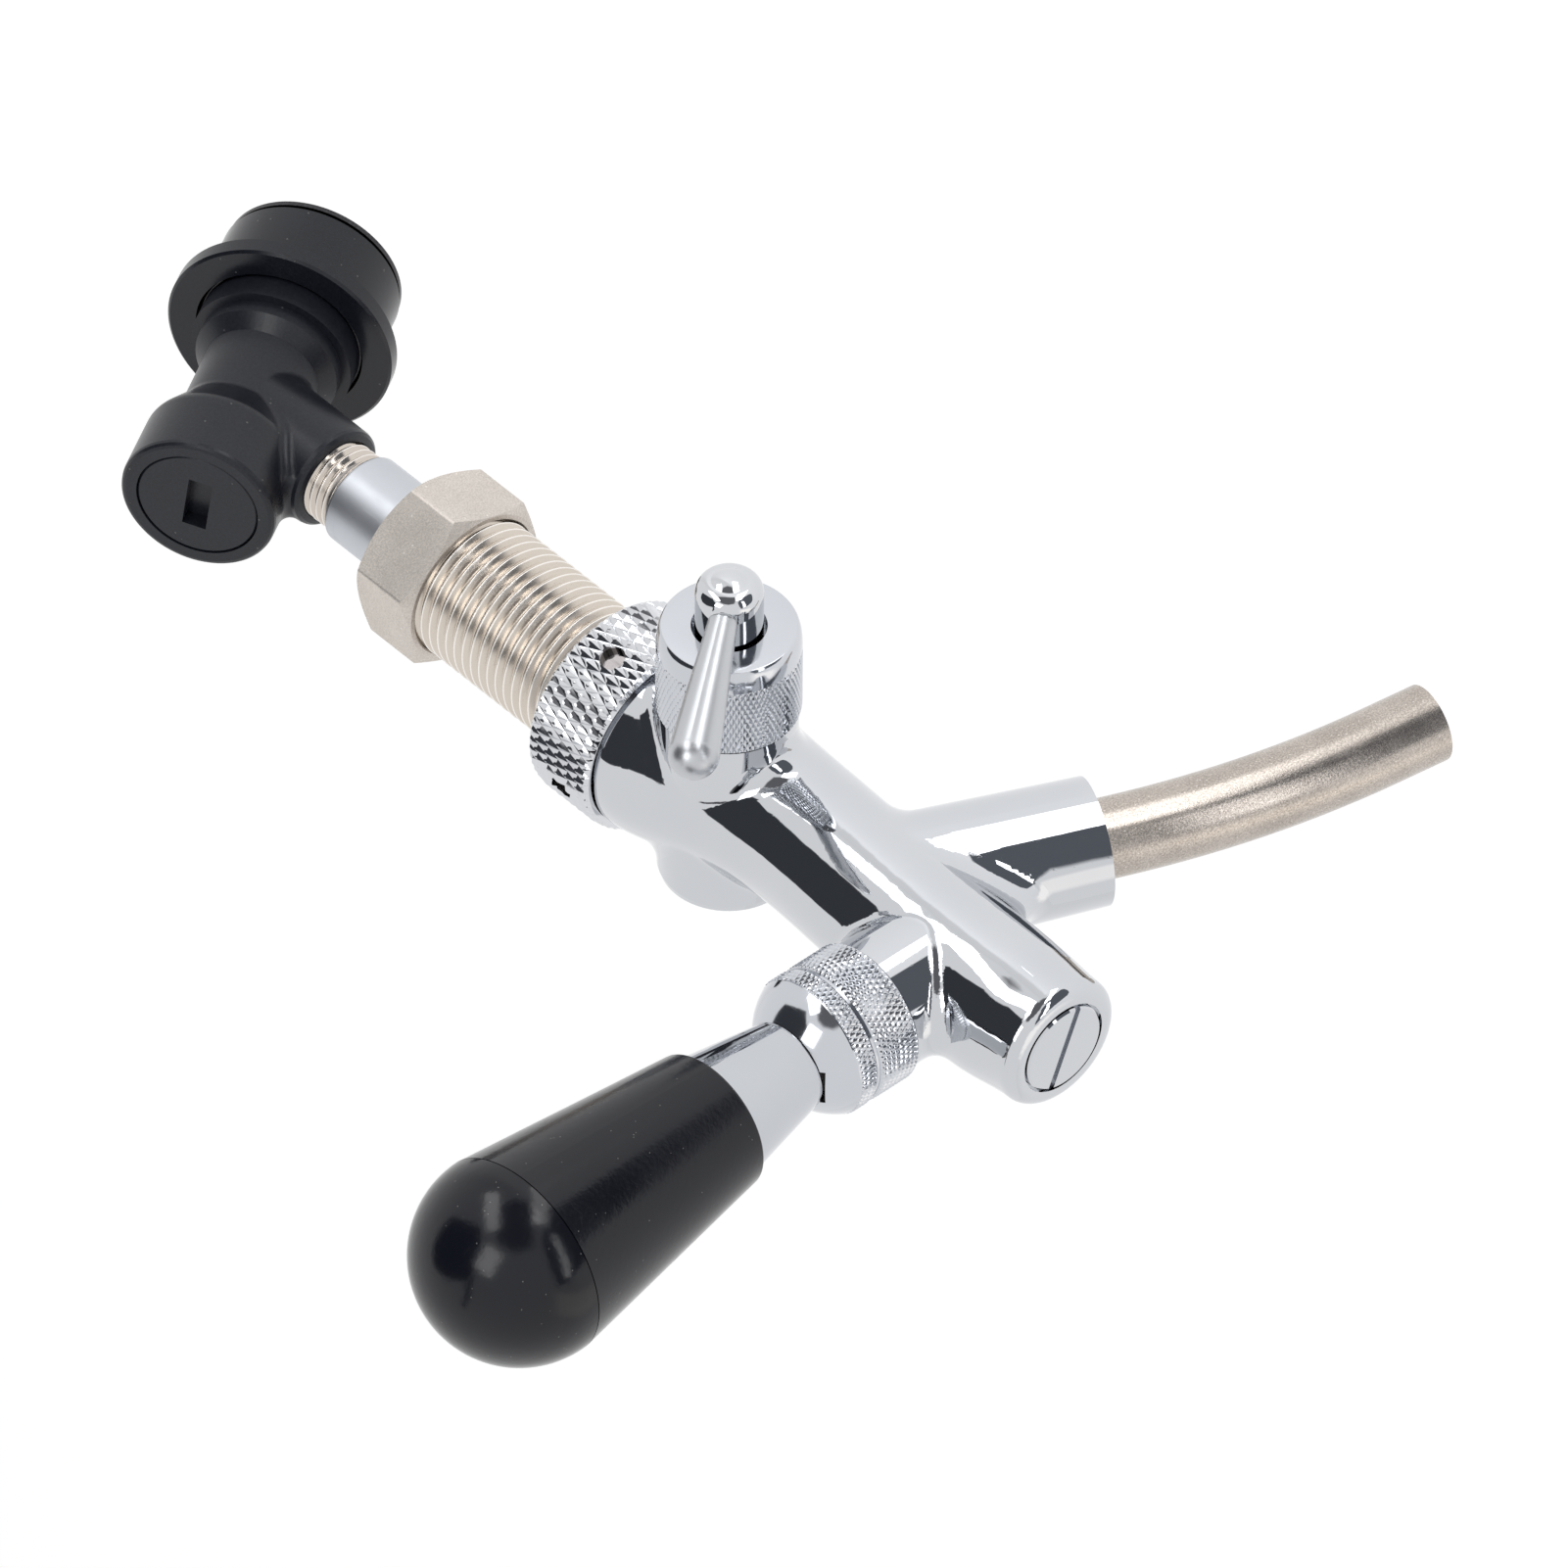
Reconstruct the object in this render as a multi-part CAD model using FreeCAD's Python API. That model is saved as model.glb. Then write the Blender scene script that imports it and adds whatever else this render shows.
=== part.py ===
import FreeCAD, Part
import math
import os

# Beer faucet with flow control, threaded shank and keg quick disconnect.
# Frame: millimetres. Origin on the shank axis at the rear face of the coupling collar,
# the face that is drawn against the wall. +Y runs back along the shank to the keg,
# +Z runs up to the handle, +X is the side of the flow control lever.

Vec = FreeCAD.Vector
ORIGIN = Vec(0, 0, 0)
X_DIR = Vec(1, 0, 0)
Y_DIR = Vec(0, 1, 0)
Z_DIR = Vec(0, 0, 1)

# Clearances shared by every mating pair
RUNNING_GAP = 0.06        # radial, turning or sliding metal parts
SEAT_GAP = 0.10           # pushed-in and screwed parts, radial
FACE_GAP = 0.10           # faces that meet end to end
SNUG_GAP = 0.02           # parts held without play, radial
BORE_OVERRUN = 1.0        # how far a cutter passes the face it opens

# Shank and wall nut
SHANK_R = 11.455          # G 5/8 thread, crest diameter 22.91
SHANK_BORE_R = 5.5
SHANK_WASHER_BORE_R = 6.0
SHANK_FLANGE_R = 13.6
SHANK_FLANGE_T = 2.4
SHANK_REAR_Y = 41.0
SHANK_THREAD_CHAMFER = 0.8
NUT_FRONT_Y = 29.7
NUT_THICKNESS = 11.7
NUT_ACROSS_FLATS = 25.2
NUT_CORNER_ANGLE = 11.0   # first corner, turned from +X towards +Z
NUT_FACE_R = 12.5
NUT_CHAMFER_SLOPE = 0.62
NUT_EDGE_ROUND = 0.7
NUT_COUNTERSINK = 0.25

# Coupling collar
COLLAR_R = 16.4
COLLAR_LENGTH = 13.0
COLLAR_EDGE = 0.8
COLLAR_WALL_T = 3.4
COLLAR_THREAD_R = 14.25
COLLAR_HOLE_R = 2.0
COLLAR_HOLES = 4
COLLAR_HOLE_DEPTH = 1.7
COLLAR_HOLE_START = 18.5
COLLAR_WASHER_T = 1.6
COLLAR_WASHER_R = 13.2

# Faucet body, lofted through round sections: (station Y, centre Z, radius)
BODY_SECTIONS = (
    (-13.4, 0.0, 14.85),
    (-17.0, 0.0, 14.55),
    (-23.0, -0.5, 13.5),
    (-31.0, -1.2, 12.2),
    (-42.0, -1.6, 11.4),
    (-54.0, -1.0, 11.4),
    (-66.0, -0.3, 11.4),
    (-78.0, 0.1, 11.6),
    (-90.0, 0.1, 11.4),
    (-99.6, 0.0, 10.8),
)
BODY_END_ROUND = 2.2
BODY_REAR_SHOULDER_Y = BODY_SECTIONS[0][0]
BODY_FRONT_Y = BODY_SECTIONS[-1][0]
BODY_TAIL_Y = -COLLAR_WALL_T - SHANK_FLANGE_T - COLLAR_WASHER_T - 3 * FACE_GAP
CHAMBER_R = 7.0
INLET_R = 8.2
INLET_CONE_REAR_Y = -17.0
INLET_CONE_FRONT_Y = -38.0
SEAT_Y = -50.0
SEAT_T = 1.8
SEAT_HOLE_R = 4.6
SEAM_SEARCH = 0.05        # how far from the old edges a new seam lies
FLAT_SEARCH = 0.01        # how closely an edge's place or length is matched

# Handle boss, knurled rings and ball joint, on a vertical axis
HANDLE_Y = -74.7
HANDLE_BOSS_R = 10.5
HANDLE_BOSS_TOP = 15.6
HANDLE_BOSS_BLEND = 3.0
HANDLE_THREAD_R = 9.6
HANDLE_THREAD_TOP = 25.2
BALL_Z = 22.6
BALL_R = 6.5
LEVER_LEAN = 3.08         # closed handle leans forward, degrees
LEVER_TRAVEL = 20.0       # opening angle, degrees
LEVER_NECK_R = 2.8
LEVER_TAIL_R = 1.6
LEVER_TIP_R = 2.0
LEVER_TIP_Z = 5.0
LEVER_TAIL_ROOT_R = 2.2
LEVER_CONE_S = 15.2       # neck opens to the stud here
LEVER_CONE_L = 0.6
SWING_MARGIN = 1.6        # free angle at each end of the slot, degrees
TAIL_ROOM = 0.4
SLOT_SIDE_GAP = 0.3
BALL_POCKET_R = 8.3
BALL_POCKET_Z = 16.0
BALL_SEAT_TOP = 22.1
BALL_SEAT_HOLE_R = 5.4
LOCK_RING_R = 11.4
LOCK_RING_Z = 15.9
LOCK_RING_H = 7.6
BONNET_R = 11.15
BONNET_Z = 24.1
BONNET_DOME_R = 12.2
BONNET_SHOULDER_R = 11.0
BONNET_BAND_DROP = 1.2     # plain band below the dome
DOME_INNER_R = 9.9
KNURLED_EDGE = 0.5

# Handle, along the lever from the ball centre
FERRULE_START_R = 7.35
FERRULE_END_R = 10.35
FERRULE_END = 27.0
GRIP_START = 25.9
GRIP_START_R = 11.25
GRIP_END = 65.4
GRIP_END_R = 16.45
GRIP_EDGE = 0.5
GRIP_SKIRT_DEPTH = 3.0
GRIP_SEAM = 0.18
GRIP_SKIRT_T = 1.6
GRIP_CROWN_T = 6.0
GRIP_FOOT_GAP = 0.15
STUD_R = 3.0
STUD_END = 52.0
INSERT_R = 4.6
INSERT_START = 30.0
FERRULE_LIP = 0.6
DOME_GAP = 0.25

# Spout, on an axis leaning forward from straight down
SPOUT_LEAN = 24.0
SPOUT_AXIS_Y = -56.46
SPOUT_BOSS_R = 9.85
SPOUT_BOSS_ROOT_R = 10.6
SPOUT_BOSS_END = 35.4
SPOUT_BOSS_BLEND = 5.5
SPOUT_R = 6.1
SPOUT_WALL = 0.9
SPOUT_START = 17.4
SPOUT_STRAIGHT_END = 38.0
SPOUT_BEND_R = 165.0
SPOUT_BEND_ANGLE = 15.5
SPOUT_TIP_LENGTH = 8.4
SPOUT_PASSAGE_R = 4.3
SPOUT_O_RING_S = (23.0, 29.0)
SPOUT_O_RING_WIRE = 0.9

# Valve shaft, its guide and the front plug
ROD_R = 2.5
YOKE_REAR_Y = -70.5
YOKE_FRONT_Y = -79.6
TAIL_FRONT_Y = -95.0
GUIDE_REAR_Y = -60.8
GUIDE_FRONT_Y = -64.3
GUIDE_WIRE = 0.75
SEAL_R = 6.2
SEAL_T = 3.2
SEAL_EDGE = 0.8
SHAFT_NUT_R = 3.9
SHAFT_NUT_T = 2.6
SHAFT_PAST_NUT = 1.0
TIP_HOLE_FLARE = 1.1
PLUG_R = 7.2
PLUG_REAR_Y = -86.2
PLUG_SLOT_W = 1.05
PLUG_SLOT_D = 1.1
PLUG_SLOT_ANGLE = 22.3     # slot as it stopped when screwed in, degrees about Y
PLUG_RECESS = 0.3
PLUG_RIM = 0.3
PLUG_MOUTH_GAP = 0.45     # bore opened round the plug's head
PLUG_MOUTH_DEPTH = 1.1
PLUG_WIRE = 0.9
TAIL_END_ROOM = 1.5
PLUG_RING_Y = -89.0

# Flow control, on an axis along X
CONTROL_Y = -26.43
CONTROL_BOSS_R = 10.4
CONTROL_BOSS_TOP = 16.9
CONTROL_BOSS_BLEND = 4.0
CONTROL_THREAD_R = 8.7
CONTROL_THREAD_TOP = 26.2
CONTROL_CAP_R = 10.86
CONTROL_CAP_BASE = 17.1
CONTROL_CAP_TOP = 33.3
CONTROL_CAP_FACE_R = 9.95
CONTROL_CAP_SHOULDER = 29.6
CONTROL_CAP_BEVEL = 32.5
CONTROL_CAP_BEVEL_R = 10.31
CONTROL_CAP_HOLE_R = 5.66
CONTROL_STEM_R = 5.12
CONTROL_STEM_TOP = 43.2
CONTROL_STEM_DOME = 0.7
CONTROL_STEM_ROUND = 2.4
CONTROL_SHAFT_R = 4.2
CONTROL_FLANGE_R = 7.2
CONTROL_FLANGE_T = 1.8
CONTROL_SHAFT_BASE = 9.4
CONTROL_RING_X = (13.0, 20.0)
CONTROL_WIRE = 0.9
GROOVE_MARGIN = 0.1       # ring grooves, each side of the wire
CONTROL_REST = 54.0       # closed lever, degrees from the front towards the handle
CAM_OFFSET = 2.0
CAM_R = 1.4
CAM_BASE = 4.3
CAM_REST = 9.0            # pin past its middle position at rest, degrees
LEVER_ROOT_X = 39.8
LEVER_ROOT_R = 2.1
LEVER_END_X = 31.0
LEVER_END_REACH = 25.17
LEVER_END_R = 3.85
BLIND_BOSS_R = 10.6
BLIND_BOSS_END = -16.7
BLIND_BOSS_ROUND = 2.0

# Compensator cone
CONE_REAR_Y = -14.5
CONE_FRONT_Y = -35.0
CONE_REAR_R = 7.2
CONE_FRONT_R = 5.6
CONE_NOSE = 3.0
CONE_GROOVE_R = 3.6
CONE_EDGE = 1.5
CONE_STEP = 2.0
CAM_GAP = 0.12

# Adapter between shank and disconnect
SLEEVE_R = 7.3
SLEEVE_REAR_Y = 55.0
SLEEVE_FRONT_Y = 24.0
SLEEVE_EDGE = 0.7
SLEEVE_BORE_R = 4.4
STEM_SOCKET_R = 5.58
STEM_SOCKET_L = 8.0
STEM_R = 6.58             # G 1/4 thread, crest diameter 13.16
STEM_REAR_Y = 67.2
STEM_BORE_R = 3.4
STEM_SEAL_T = 1.2
STEM_CHAMFER = 0.6

# Quick disconnect: S runs from the cap face to the mouth along the tilted axis
DISCONNECT_LEAN = 29.0    # from straight down towards the keg side, degrees
DISCONNECT_CROSS_Y = 80.44
DISCONNECT_CROSS_S = 21.66
HOUSING_R = 12.1
HOUSING_EDGE = 0.9
HOUSING_SHOULDER_S = 11.2
NECK_S = 17.2
NECK_R = 8.9
FLARE_S = 29.2
STEP_ONE_S = 31.0
STEP_ONE_R = 11.1
STEP_TWO_S = 33.2
STEP_TWO_R = 12.5
STEP_END_S = 37.2
SKIRT_R = 11.9
MOUTH_S = 53.1
SOCKET_R = 9.75
SOCKET_END_S = 37.0
SOCKET_INNER_R = 9.4
BALL_GROOVE_R = 10.15
BALL_GROOVE_HALF = 1.9
CHAMBER_S_R = 5.9
CHAMBER_S_END = 33.0
NOSE_HOLE_R = 2.3
ARM_R = 8.25
ARM_MOUTH_Y = 59.9
ARM_BLEND = 2.0
ARM_BORE_END_Y = 68.6
ARM_PASSAGE_R = 3.6
ARM_EDGE = 1.2
HOUSING_ROUND = 3.0
NECK_ROUND = 3.0
MOUTH_CHAMFER = 0.5
SOCKET_LAND_S = 42.8
CAP_R = 9.45
CAP_DEPTH = 6.0
CAP_SLOT_L = 9.2
CAP_SLOT_W = 3.7
CAP_SLOT_D = 2.6
CAP_SLOT_TURN = 7.0       # slot as it stopped when screwed in, degrees
CAP_WIRE = 0.9
CAP_RING_S = 3.6
CAP_FACE_DROP = 0.1
CAP_CHAMFER = 0.3

# Locking collar, balls and springs of the disconnect
FLANGE_R = 17.6
FLANGE_S = 36.8
FLANGE_T = 3.3
SLIDER_R = 14.1
SLIDER_END_S = 51.4
SLIDER_BORE_R = 13.1
SLIDER_LAND_S = 44.3
SLIDER_STROKE = 3.5
LOCK_BALL_R = 1.6
LOCK_BALLS = 3
LOCK_BALL_S = 45.8
LOCK_BALL_BITE = 0.75
RAMP_SLOPE = 0.22
SPRING_WIRE = 0.4
COLLAR_SPRING_R = 12.5
COLLAR_SPRING_COILS = 3
SNAP_RING_R = 13.85
SNAP_RING_T = 0.8
SNAP_RING_DEPTH = 0.6
SNAP_RING_OPENING = 2.0
FLANGE_CORNER = 0.4
FLANGE_BEVEL_S = 0.5
FLANGE_BEVEL_R = 0.9
SLIDER_EDGE = 0.6
POPPET_R = 4.5
POPPET_GUIDE_R = 2.4
POPPET_GUIDE_L = 4.0
POPPET_WAIST_R = 3.1
POPPET_WAIST_S = 30.7
POPPET_LIP_S = 32.1
POPPET_LIP_R = 3.6
POPPET_TIP = 0.5
POPPET_SEAL_R = 5.1
POPPET_SEAL_T = 1.3
POPPET_HEAD_S = 27.5
POPPET_SEAT_S = 32.6
POPPET_NOSE_R = 1.7
POPPET_NOSE_S = 40.2
POPPET_TRAVEL = 3.5
POPPET_SPRING_R = 3.6
POPPET_SPRING_COILS = 5
SPRING_END_GAP = 0.12


# Shape helpers

def point_on(base, direction, distance):
    return base + direction * distance


def rod(base, direction, start, end, radius):
    """Round bar between two distances along an axis."""
    return Part.makeCylinder(radius, end - start, point_on(base, direction, start), direction)


def pipe(base, direction, start, end, outer, inner):
    """Round bar with a round hole right through it."""
    return turned(base, direction, ((start, inner), (start, outer), (end, outer), (end, inner)))


def turned(base, direction, profile):
    """Solid turned about an axis from (distance, radius) corners."""
    corners = [Vec(r, 0, s) for s, r in profile]
    corners.append(corners[0])
    face = Part.Face(Part.makePolygon(corners))
    solid = face.revolve(ORIGIN, Z_DIR, 360)
    turn = FreeCAD.Rotation(Z_DIR, direction)
    solid.Placement = FreeCAD.Placement(base, turn)
    return solid


def ring(base, direction, distance, radius, wire_radius):
    """Rubber ring, its round section drawn with eight sides."""
    section = []
    for i in range(8):
        a = math.radians(45 * i + 22.5)
        section.append((distance + wire_radius * math.sin(a), radius + wire_radius * math.cos(a)))
    return turned(base, direction, section)


def ring_groove(base, direction, distance, inner, outer, wire_radius):
    """Square groove that a ring of a given wire lies in."""
    half = wire_radius + GROOVE_MARGIN
    return pipe(base, direction, distance - half, distance + half, outer, inner)


def eased_rim(shape, base, direction, start, radius, size):
    """Cut the rim at a bar's start back to a quarter circle drawn with three chords."""
    corners = [(start - size, radius - size)]
    for angle in (0, 30, 60, 90):
        a = math.radians(angle)
        corners.append((start + size * (1 - math.cos(a)), radius - size * (1 - math.sin(a))))
    corners += [(start + size, radius + 0.5 * size), (start - size, radius + 0.5 * size)]
    return shape.cut(turned(base, direction, corners))


def rim_edges(shape, base, direction, distance, radius, tolerance=0.02):
    """Circular edges of a given radius at a given distance along an axis."""
    found = []
    for edge in shape.Edges:
        curve = edge.Curve
        if not isinstance(curve, Part.Circle):
            continue
        offset = curve.Center - base
        along = offset.dot(direction)
        if abs(along - distance) > tolerance or abs(curve.Radius - radius) > tolerance:
            continue
        if (offset - direction * along).Length < tolerance:
            found.append(edge)
    return found


def rounded_rim(shape, base, direction, distance, radius, size):
    return shape.makeFillet(size, rim_edges(shape, base, direction, distance, radius))


def chamfered_rim(shape, base, direction, distance, radius, size):
    return shape.makeChamfer(size, rim_edges(shape, base, direction, distance, radius))


def swing_slot(pivot, half_width, reach, start_angle, end_angle):
    """Fan-shaped cutter about X, its angles counted from -Z (down) towards +Y."""
    fan = Part.makeCylinder(reach, 2 * half_width, ORIGIN, Z_DIR, end_angle - start_angle)
    fan.rotate(ORIGIN, Z_DIR, start_angle)
    turn = FreeCAD.Rotation(Z_DIR * -1, Y_DIR, X_DIR, "ZXY")
    fan.Placement = FreeCAD.Placement(pivot - X_DIR * half_width, turn).multiply(fan.Placement)
    return fan


def clean(shape):
    return shape.removeSplitter()


def axis_at(lean, toward):
    """Downward direction leaned by an angle towards +Y (1) or -Y (-1)."""
    a = math.radians(lean)
    return Vec(0, toward * math.sin(a), -math.cos(a))


HANDLE_BASE = Vec(0, HANDLE_Y, 0)
BALL_CENTRE = Vec(0, HANDLE_Y, BALL_Z)
LEVER_DIR = axis_at(LEVER_LEAN, 1) * -1
CONTROL_BASE = Vec(0, CONTROL_Y, 0)
SPOUT_BASE = Vec(0, SPOUT_AXIS_Y, 0)
SPOUT_DIR = axis_at(SPOUT_LEAN, -1)
DISCONNECT_DIR = axis_at(DISCONNECT_LEAN, 1)
DISCONNECT_BASE = Vec(0, DISCONNECT_CROSS_Y, 0) - DISCONNECT_DIR * DISCONNECT_CROSS_S
UPWARD = 180              # +Z, in a swing slot's angles
LOCK_BALL_CENTRE_R = SOCKET_R - LOCK_BALL_BITE + LOCK_BALL_R
RAMP_START_R = LOCK_BALL_CENTRE_R + (LOCK_BALL_R + RUNNING_GAP / 2) * math.hypot(1, RAMP_SLOPE)
RAMP_END_R = RAMP_START_R + RAMP_SLOPE * (SLIDER_END_S - LOCK_BALL_S)


# Faucet body

def body_barrel():
    sections = []
    for y, z, r in BODY_SECTIONS:
        circle = Part.Circle(Vec(0, y, z), Y_DIR * -1, r)
        sections.append(Part.Wire([circle.toShape()]))
    barrel = Part.makeLoft(sections, True, False)
    return barrel


def body_outside():
    """Barrel with its four blended bosses, before any boring."""
    shape = body_barrel()
    end_edges = [e for e in shape.Edges if abs(e.BoundBox.YMax - BODY_FRONT_Y) < FLAT_SEARCH]
    shape = shape.makeFillet(BODY_END_ROUND, end_edges)
    handle_boss = rod(HANDLE_BASE, Z_DIR, 0, HANDLE_BOSS_TOP, HANDLE_BOSS_R)
    spout_boss = turned(SPOUT_BASE, SPOUT_DIR, (
        (0, 0), (0, SPOUT_BOSS_ROOT_R), (SPOUT_BOSS_END, SPOUT_BOSS_R), (SPOUT_BOSS_END, 0)))
    control_boss = rod(CONTROL_BASE, X_DIR, 0, CONTROL_BOSS_TOP, CONTROL_BOSS_R)
    blind_boss = rod(CONTROL_BASE, X_DIR, BLIND_BOSS_END, 0, BLIND_BOSS_R)
    shape = blended(shape, handle_boss, HANDLE_BOSS_BLEND)
    shape = blended(shape, spout_boss, SPOUT_BOSS_BLEND)
    shape = blended(shape, control_boss, CONTROL_BOSS_BLEND)
    shape = blended(shape, blind_boss, CONTROL_BOSS_BLEND)
    return eased_rim(shape, CONTROL_BASE, X_DIR, BLIND_BOSS_END, BLIND_BOSS_R, BLIND_BOSS_ROUND)


def blended(shape, boss, size):
    """Fuse a boss on and round the edge where the two surfaces meet."""
    before = [e for e in shape.Edges] + [e for e in boss.Edges]
    fused = shape.fuse(boss)
    seams = []
    for edge in fused.Edges:
        middle = edge.valueAt((edge.FirstParameter + edge.LastParameter) / 2)
        probe = Part.Vertex(middle)
        old = min(e.distToShape(probe)[0] for e in before)
        if old > SEAM_SEARCH:
            seams.append(edge)
    return fused.makeFillet(size, seams)


def faucet_body():
    shape = body_outside()
    tail = rod(ORIGIN, Y_DIR, INLET_CONE_REAR_Y, BODY_TAIL_Y, COLLAR_THREAD_R - SEAT_GAP)
    shape = shape.fuse(tail)
    thread = rod(HANDLE_BASE, Z_DIR, CHAMBER_R, HANDLE_THREAD_TOP, HANDLE_THREAD_R)
    shape = shape.fuse(thread)
    shape = shape.fuse(rod(CONTROL_BASE, X_DIR, INLET_R, CONTROL_THREAD_TOP,
                           CONTROL_THREAD_R))
    # water way: inlet, tapering flow control bore, valve chamber
    rear = BODY_TAIL_Y + BORE_OVERRUN
    shape = shape.cut(turned(ORIGIN, Y_DIR, (
        (SEAT_Y, 0), (SEAT_Y, CHAMBER_R), (INLET_CONE_FRONT_Y, CHAMBER_R),
        (INLET_CONE_REAR_Y, INLET_R), (rear, INLET_R), (rear, 0))))
    shape = shape.cut(rod(ORIGIN, Y_DIR, SEAT_Y - SEAT_T - BORE_OVERRUN, SEAT_Y + BORE_OVERRUN,
                          SEAT_HOLE_R))
    shape = shape.cut(rod(ORIGIN, Y_DIR, PLUG_REAR_Y - BORE_OVERRUN, SEAT_Y - SEAT_T,
                          CHAMBER_R))
    shape = shape.cut(rod(ORIGIN, Y_DIR, BODY_FRONT_Y - BORE_OVERRUN, PLUG_REAR_Y,
                          PLUG_R + SEAT_GAP))
    shape = shape.cut(rod(ORIGIN, Y_DIR, BODY_FRONT_Y - BORE_OVERRUN,
                          BODY_FRONT_Y + PLUG_MOUTH_DEPTH, PLUG_R + PLUG_MOUTH_GAP))
    # spout socket and its passage
    shape = shape.cut(rod(SPOUT_BASE, SPOUT_DIR, 0, SPOUT_START, SPOUT_PASSAGE_R))
    shape = shape.cut(rod(SPOUT_BASE, SPOUT_DIR, SPOUT_START - FACE_GAP,
                          SPOUT_BOSS_END + BORE_OVERRUN, SPOUT_R + SEAT_GAP))
    spout_groove_r = SPOUT_R + 2 * SPOUT_O_RING_WIRE + 2 * RUNNING_GAP
    for s in SPOUT_O_RING_S:
        shape = shape.cut(ring_groove(SPOUT_BASE, SPOUT_DIR, s, SPOUT_R, spout_groove_r,
                                      SPOUT_O_RING_WIRE))
    shape = shape.cut(rod(HANDLE_BASE, Z_DIR, BALL_POCKET_Z, HANDLE_THREAD_TOP + BORE_OVERRUN,
                          BALL_POCKET_R))
    shape = shape.cut(lever_sweep_below())
    # flow control stem bore
    shape = shape.cut(rod(CONTROL_BASE, X_DIR, 0, CONTROL_THREAD_TOP + BORE_OVERRUN,
                          CONTROL_SHAFT_R + RUNNING_GAP))
    return clean(shape)


def lever_sweep_below():
    """Room for the lever's tail, from closed to open."""
    half_width = LEVER_TAIL_ROOT_R + TAIL_ROOM
    reach = (tip_centre() - BALL_CENTRE).Length + half_width
    sweep = swing_slot(BALL_CENTRE, half_width, reach, LEVER_LEAN, LEVER_LEAN + LEVER_TRAVEL)
    for angle in (LEVER_LEAN, LEVER_LEAN + LEVER_TRAVEL):
        sweep = sweep.fuse(rod(BALL_CENTRE, axis_at(angle, 1), 0, reach, half_width))
    return sweep


# Coupling between body and shank

def coupling_collar():
    shape = rod(ORIGIN, Y_DIR, -COLLAR_LENGTH, 0, COLLAR_R)
    shape = chamfered_rim(shape, ORIGIN, Y_DIR, 0, COLLAR_R, COLLAR_EDGE)
    shape = chamfered_rim(shape, ORIGIN, Y_DIR, -COLLAR_LENGTH, COLLAR_R, COLLAR_EDGE)
    shape = shape.cut(rod(ORIGIN, Y_DIR, -COLLAR_LENGTH - BORE_OVERRUN, -COLLAR_WALL_T,
                          COLLAR_THREAD_R))
    shape = shape.cut(rod(ORIGIN, Y_DIR, -COLLAR_WALL_T - BORE_OVERRUN, BORE_OVERRUN,
                          SHANK_R + SEAT_GAP))
    for i in range(COLLAR_HOLES):
        a = math.radians(COLLAR_HOLE_START + 360 / COLLAR_HOLES * i)
        out = Vec(math.cos(a), 0, math.sin(a))
        base = Vec(0, -COLLAR_LENGTH / 2, 0)
        shape = shape.cut(rod(base, out, COLLAR_R - COLLAR_HOLE_DEPTH, COLLAR_R + BORE_OVERRUN,
                              COLLAR_HOLE_R))
    return shape


def shank():
    flange_rear = -COLLAR_WALL_T - FACE_GAP
    shape = turned(ORIGIN, Y_DIR, (
        (flange_rear - SHANK_FLANGE_T, SHANK_BORE_R), (flange_rear - SHANK_FLANGE_T, SHANK_FLANGE_R),
        (flange_rear, SHANK_FLANGE_R), (flange_rear, SHANK_R),
        (SHANK_REAR_Y - SHANK_THREAD_CHAMFER, SHANK_R),
        (SHANK_REAR_Y, SHANK_R - SHANK_THREAD_CHAMFER), (SHANK_REAR_Y, SHANK_BORE_R)))
    return shape.cut(rod(ORIGIN, Y_DIR, SLEEVE_FRONT_Y - FACE_GAP, SHANK_REAR_Y,
                         SLEEVE_R + SEAT_GAP))


def shank_washer():
    rear = -COLLAR_WALL_T - SHANK_FLANGE_T - 2 * FACE_GAP
    return pipe(ORIGIN, Y_DIR, rear - COLLAR_WASHER_T, rear, COLLAR_WASHER_R,
                SHANK_WASHER_BORE_R)


def shank_nut():
    corner_r = NUT_ACROSS_FLATS / 2 / math.cos(math.radians(30))
    corners = []
    for i in range(7):
        a = math.radians(NUT_CORNER_ANGLE + 60 * i)
        corners.append(Vec(corner_r * math.cos(a), NUT_FRONT_Y, corner_r * math.sin(a)))
    hexagon = Part.Face(Part.makePolygon(corners)).extrude(Y_DIR * NUT_THICKNESS)
    along = [e for e in hexagon.Edges if abs(e.BoundBox.YLength - NUT_THICKNESS) < FLAT_SEARCH]
    hexagon = hexagon.makeFillet(NUT_EDGE_ROUND, along)
    drop = (corner_r - NUT_FACE_R) * NUT_CHAMFER_SLOPE
    rear = NUT_FRONT_Y + NUT_THICKNESS
    cone = turned(ORIGIN, Y_DIR, (
        (NUT_FRONT_Y, 0), (NUT_FRONT_Y, NUT_FACE_R), (NUT_FRONT_Y + drop, corner_r),
        (rear - drop, corner_r), (rear, NUT_FACE_R), (rear, 0)))
    shape = hexagon.common(cone)
    hole_r = SHANK_R + RUNNING_GAP
    front = NUT_FRONT_Y - BORE_OVERRUN
    return shape.cut(turned(ORIGIN, Y_DIR, (
        (front, 0), (front, hole_r + NUT_COUNTERSINK), (NUT_FRONT_Y, hole_r + NUT_COUNTERSINK),
        (NUT_FRONT_Y + NUT_COUNTERSINK, hole_r), (rear + BORE_OVERRUN, hole_r),
        (rear + BORE_OVERRUN, 0))))


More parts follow.
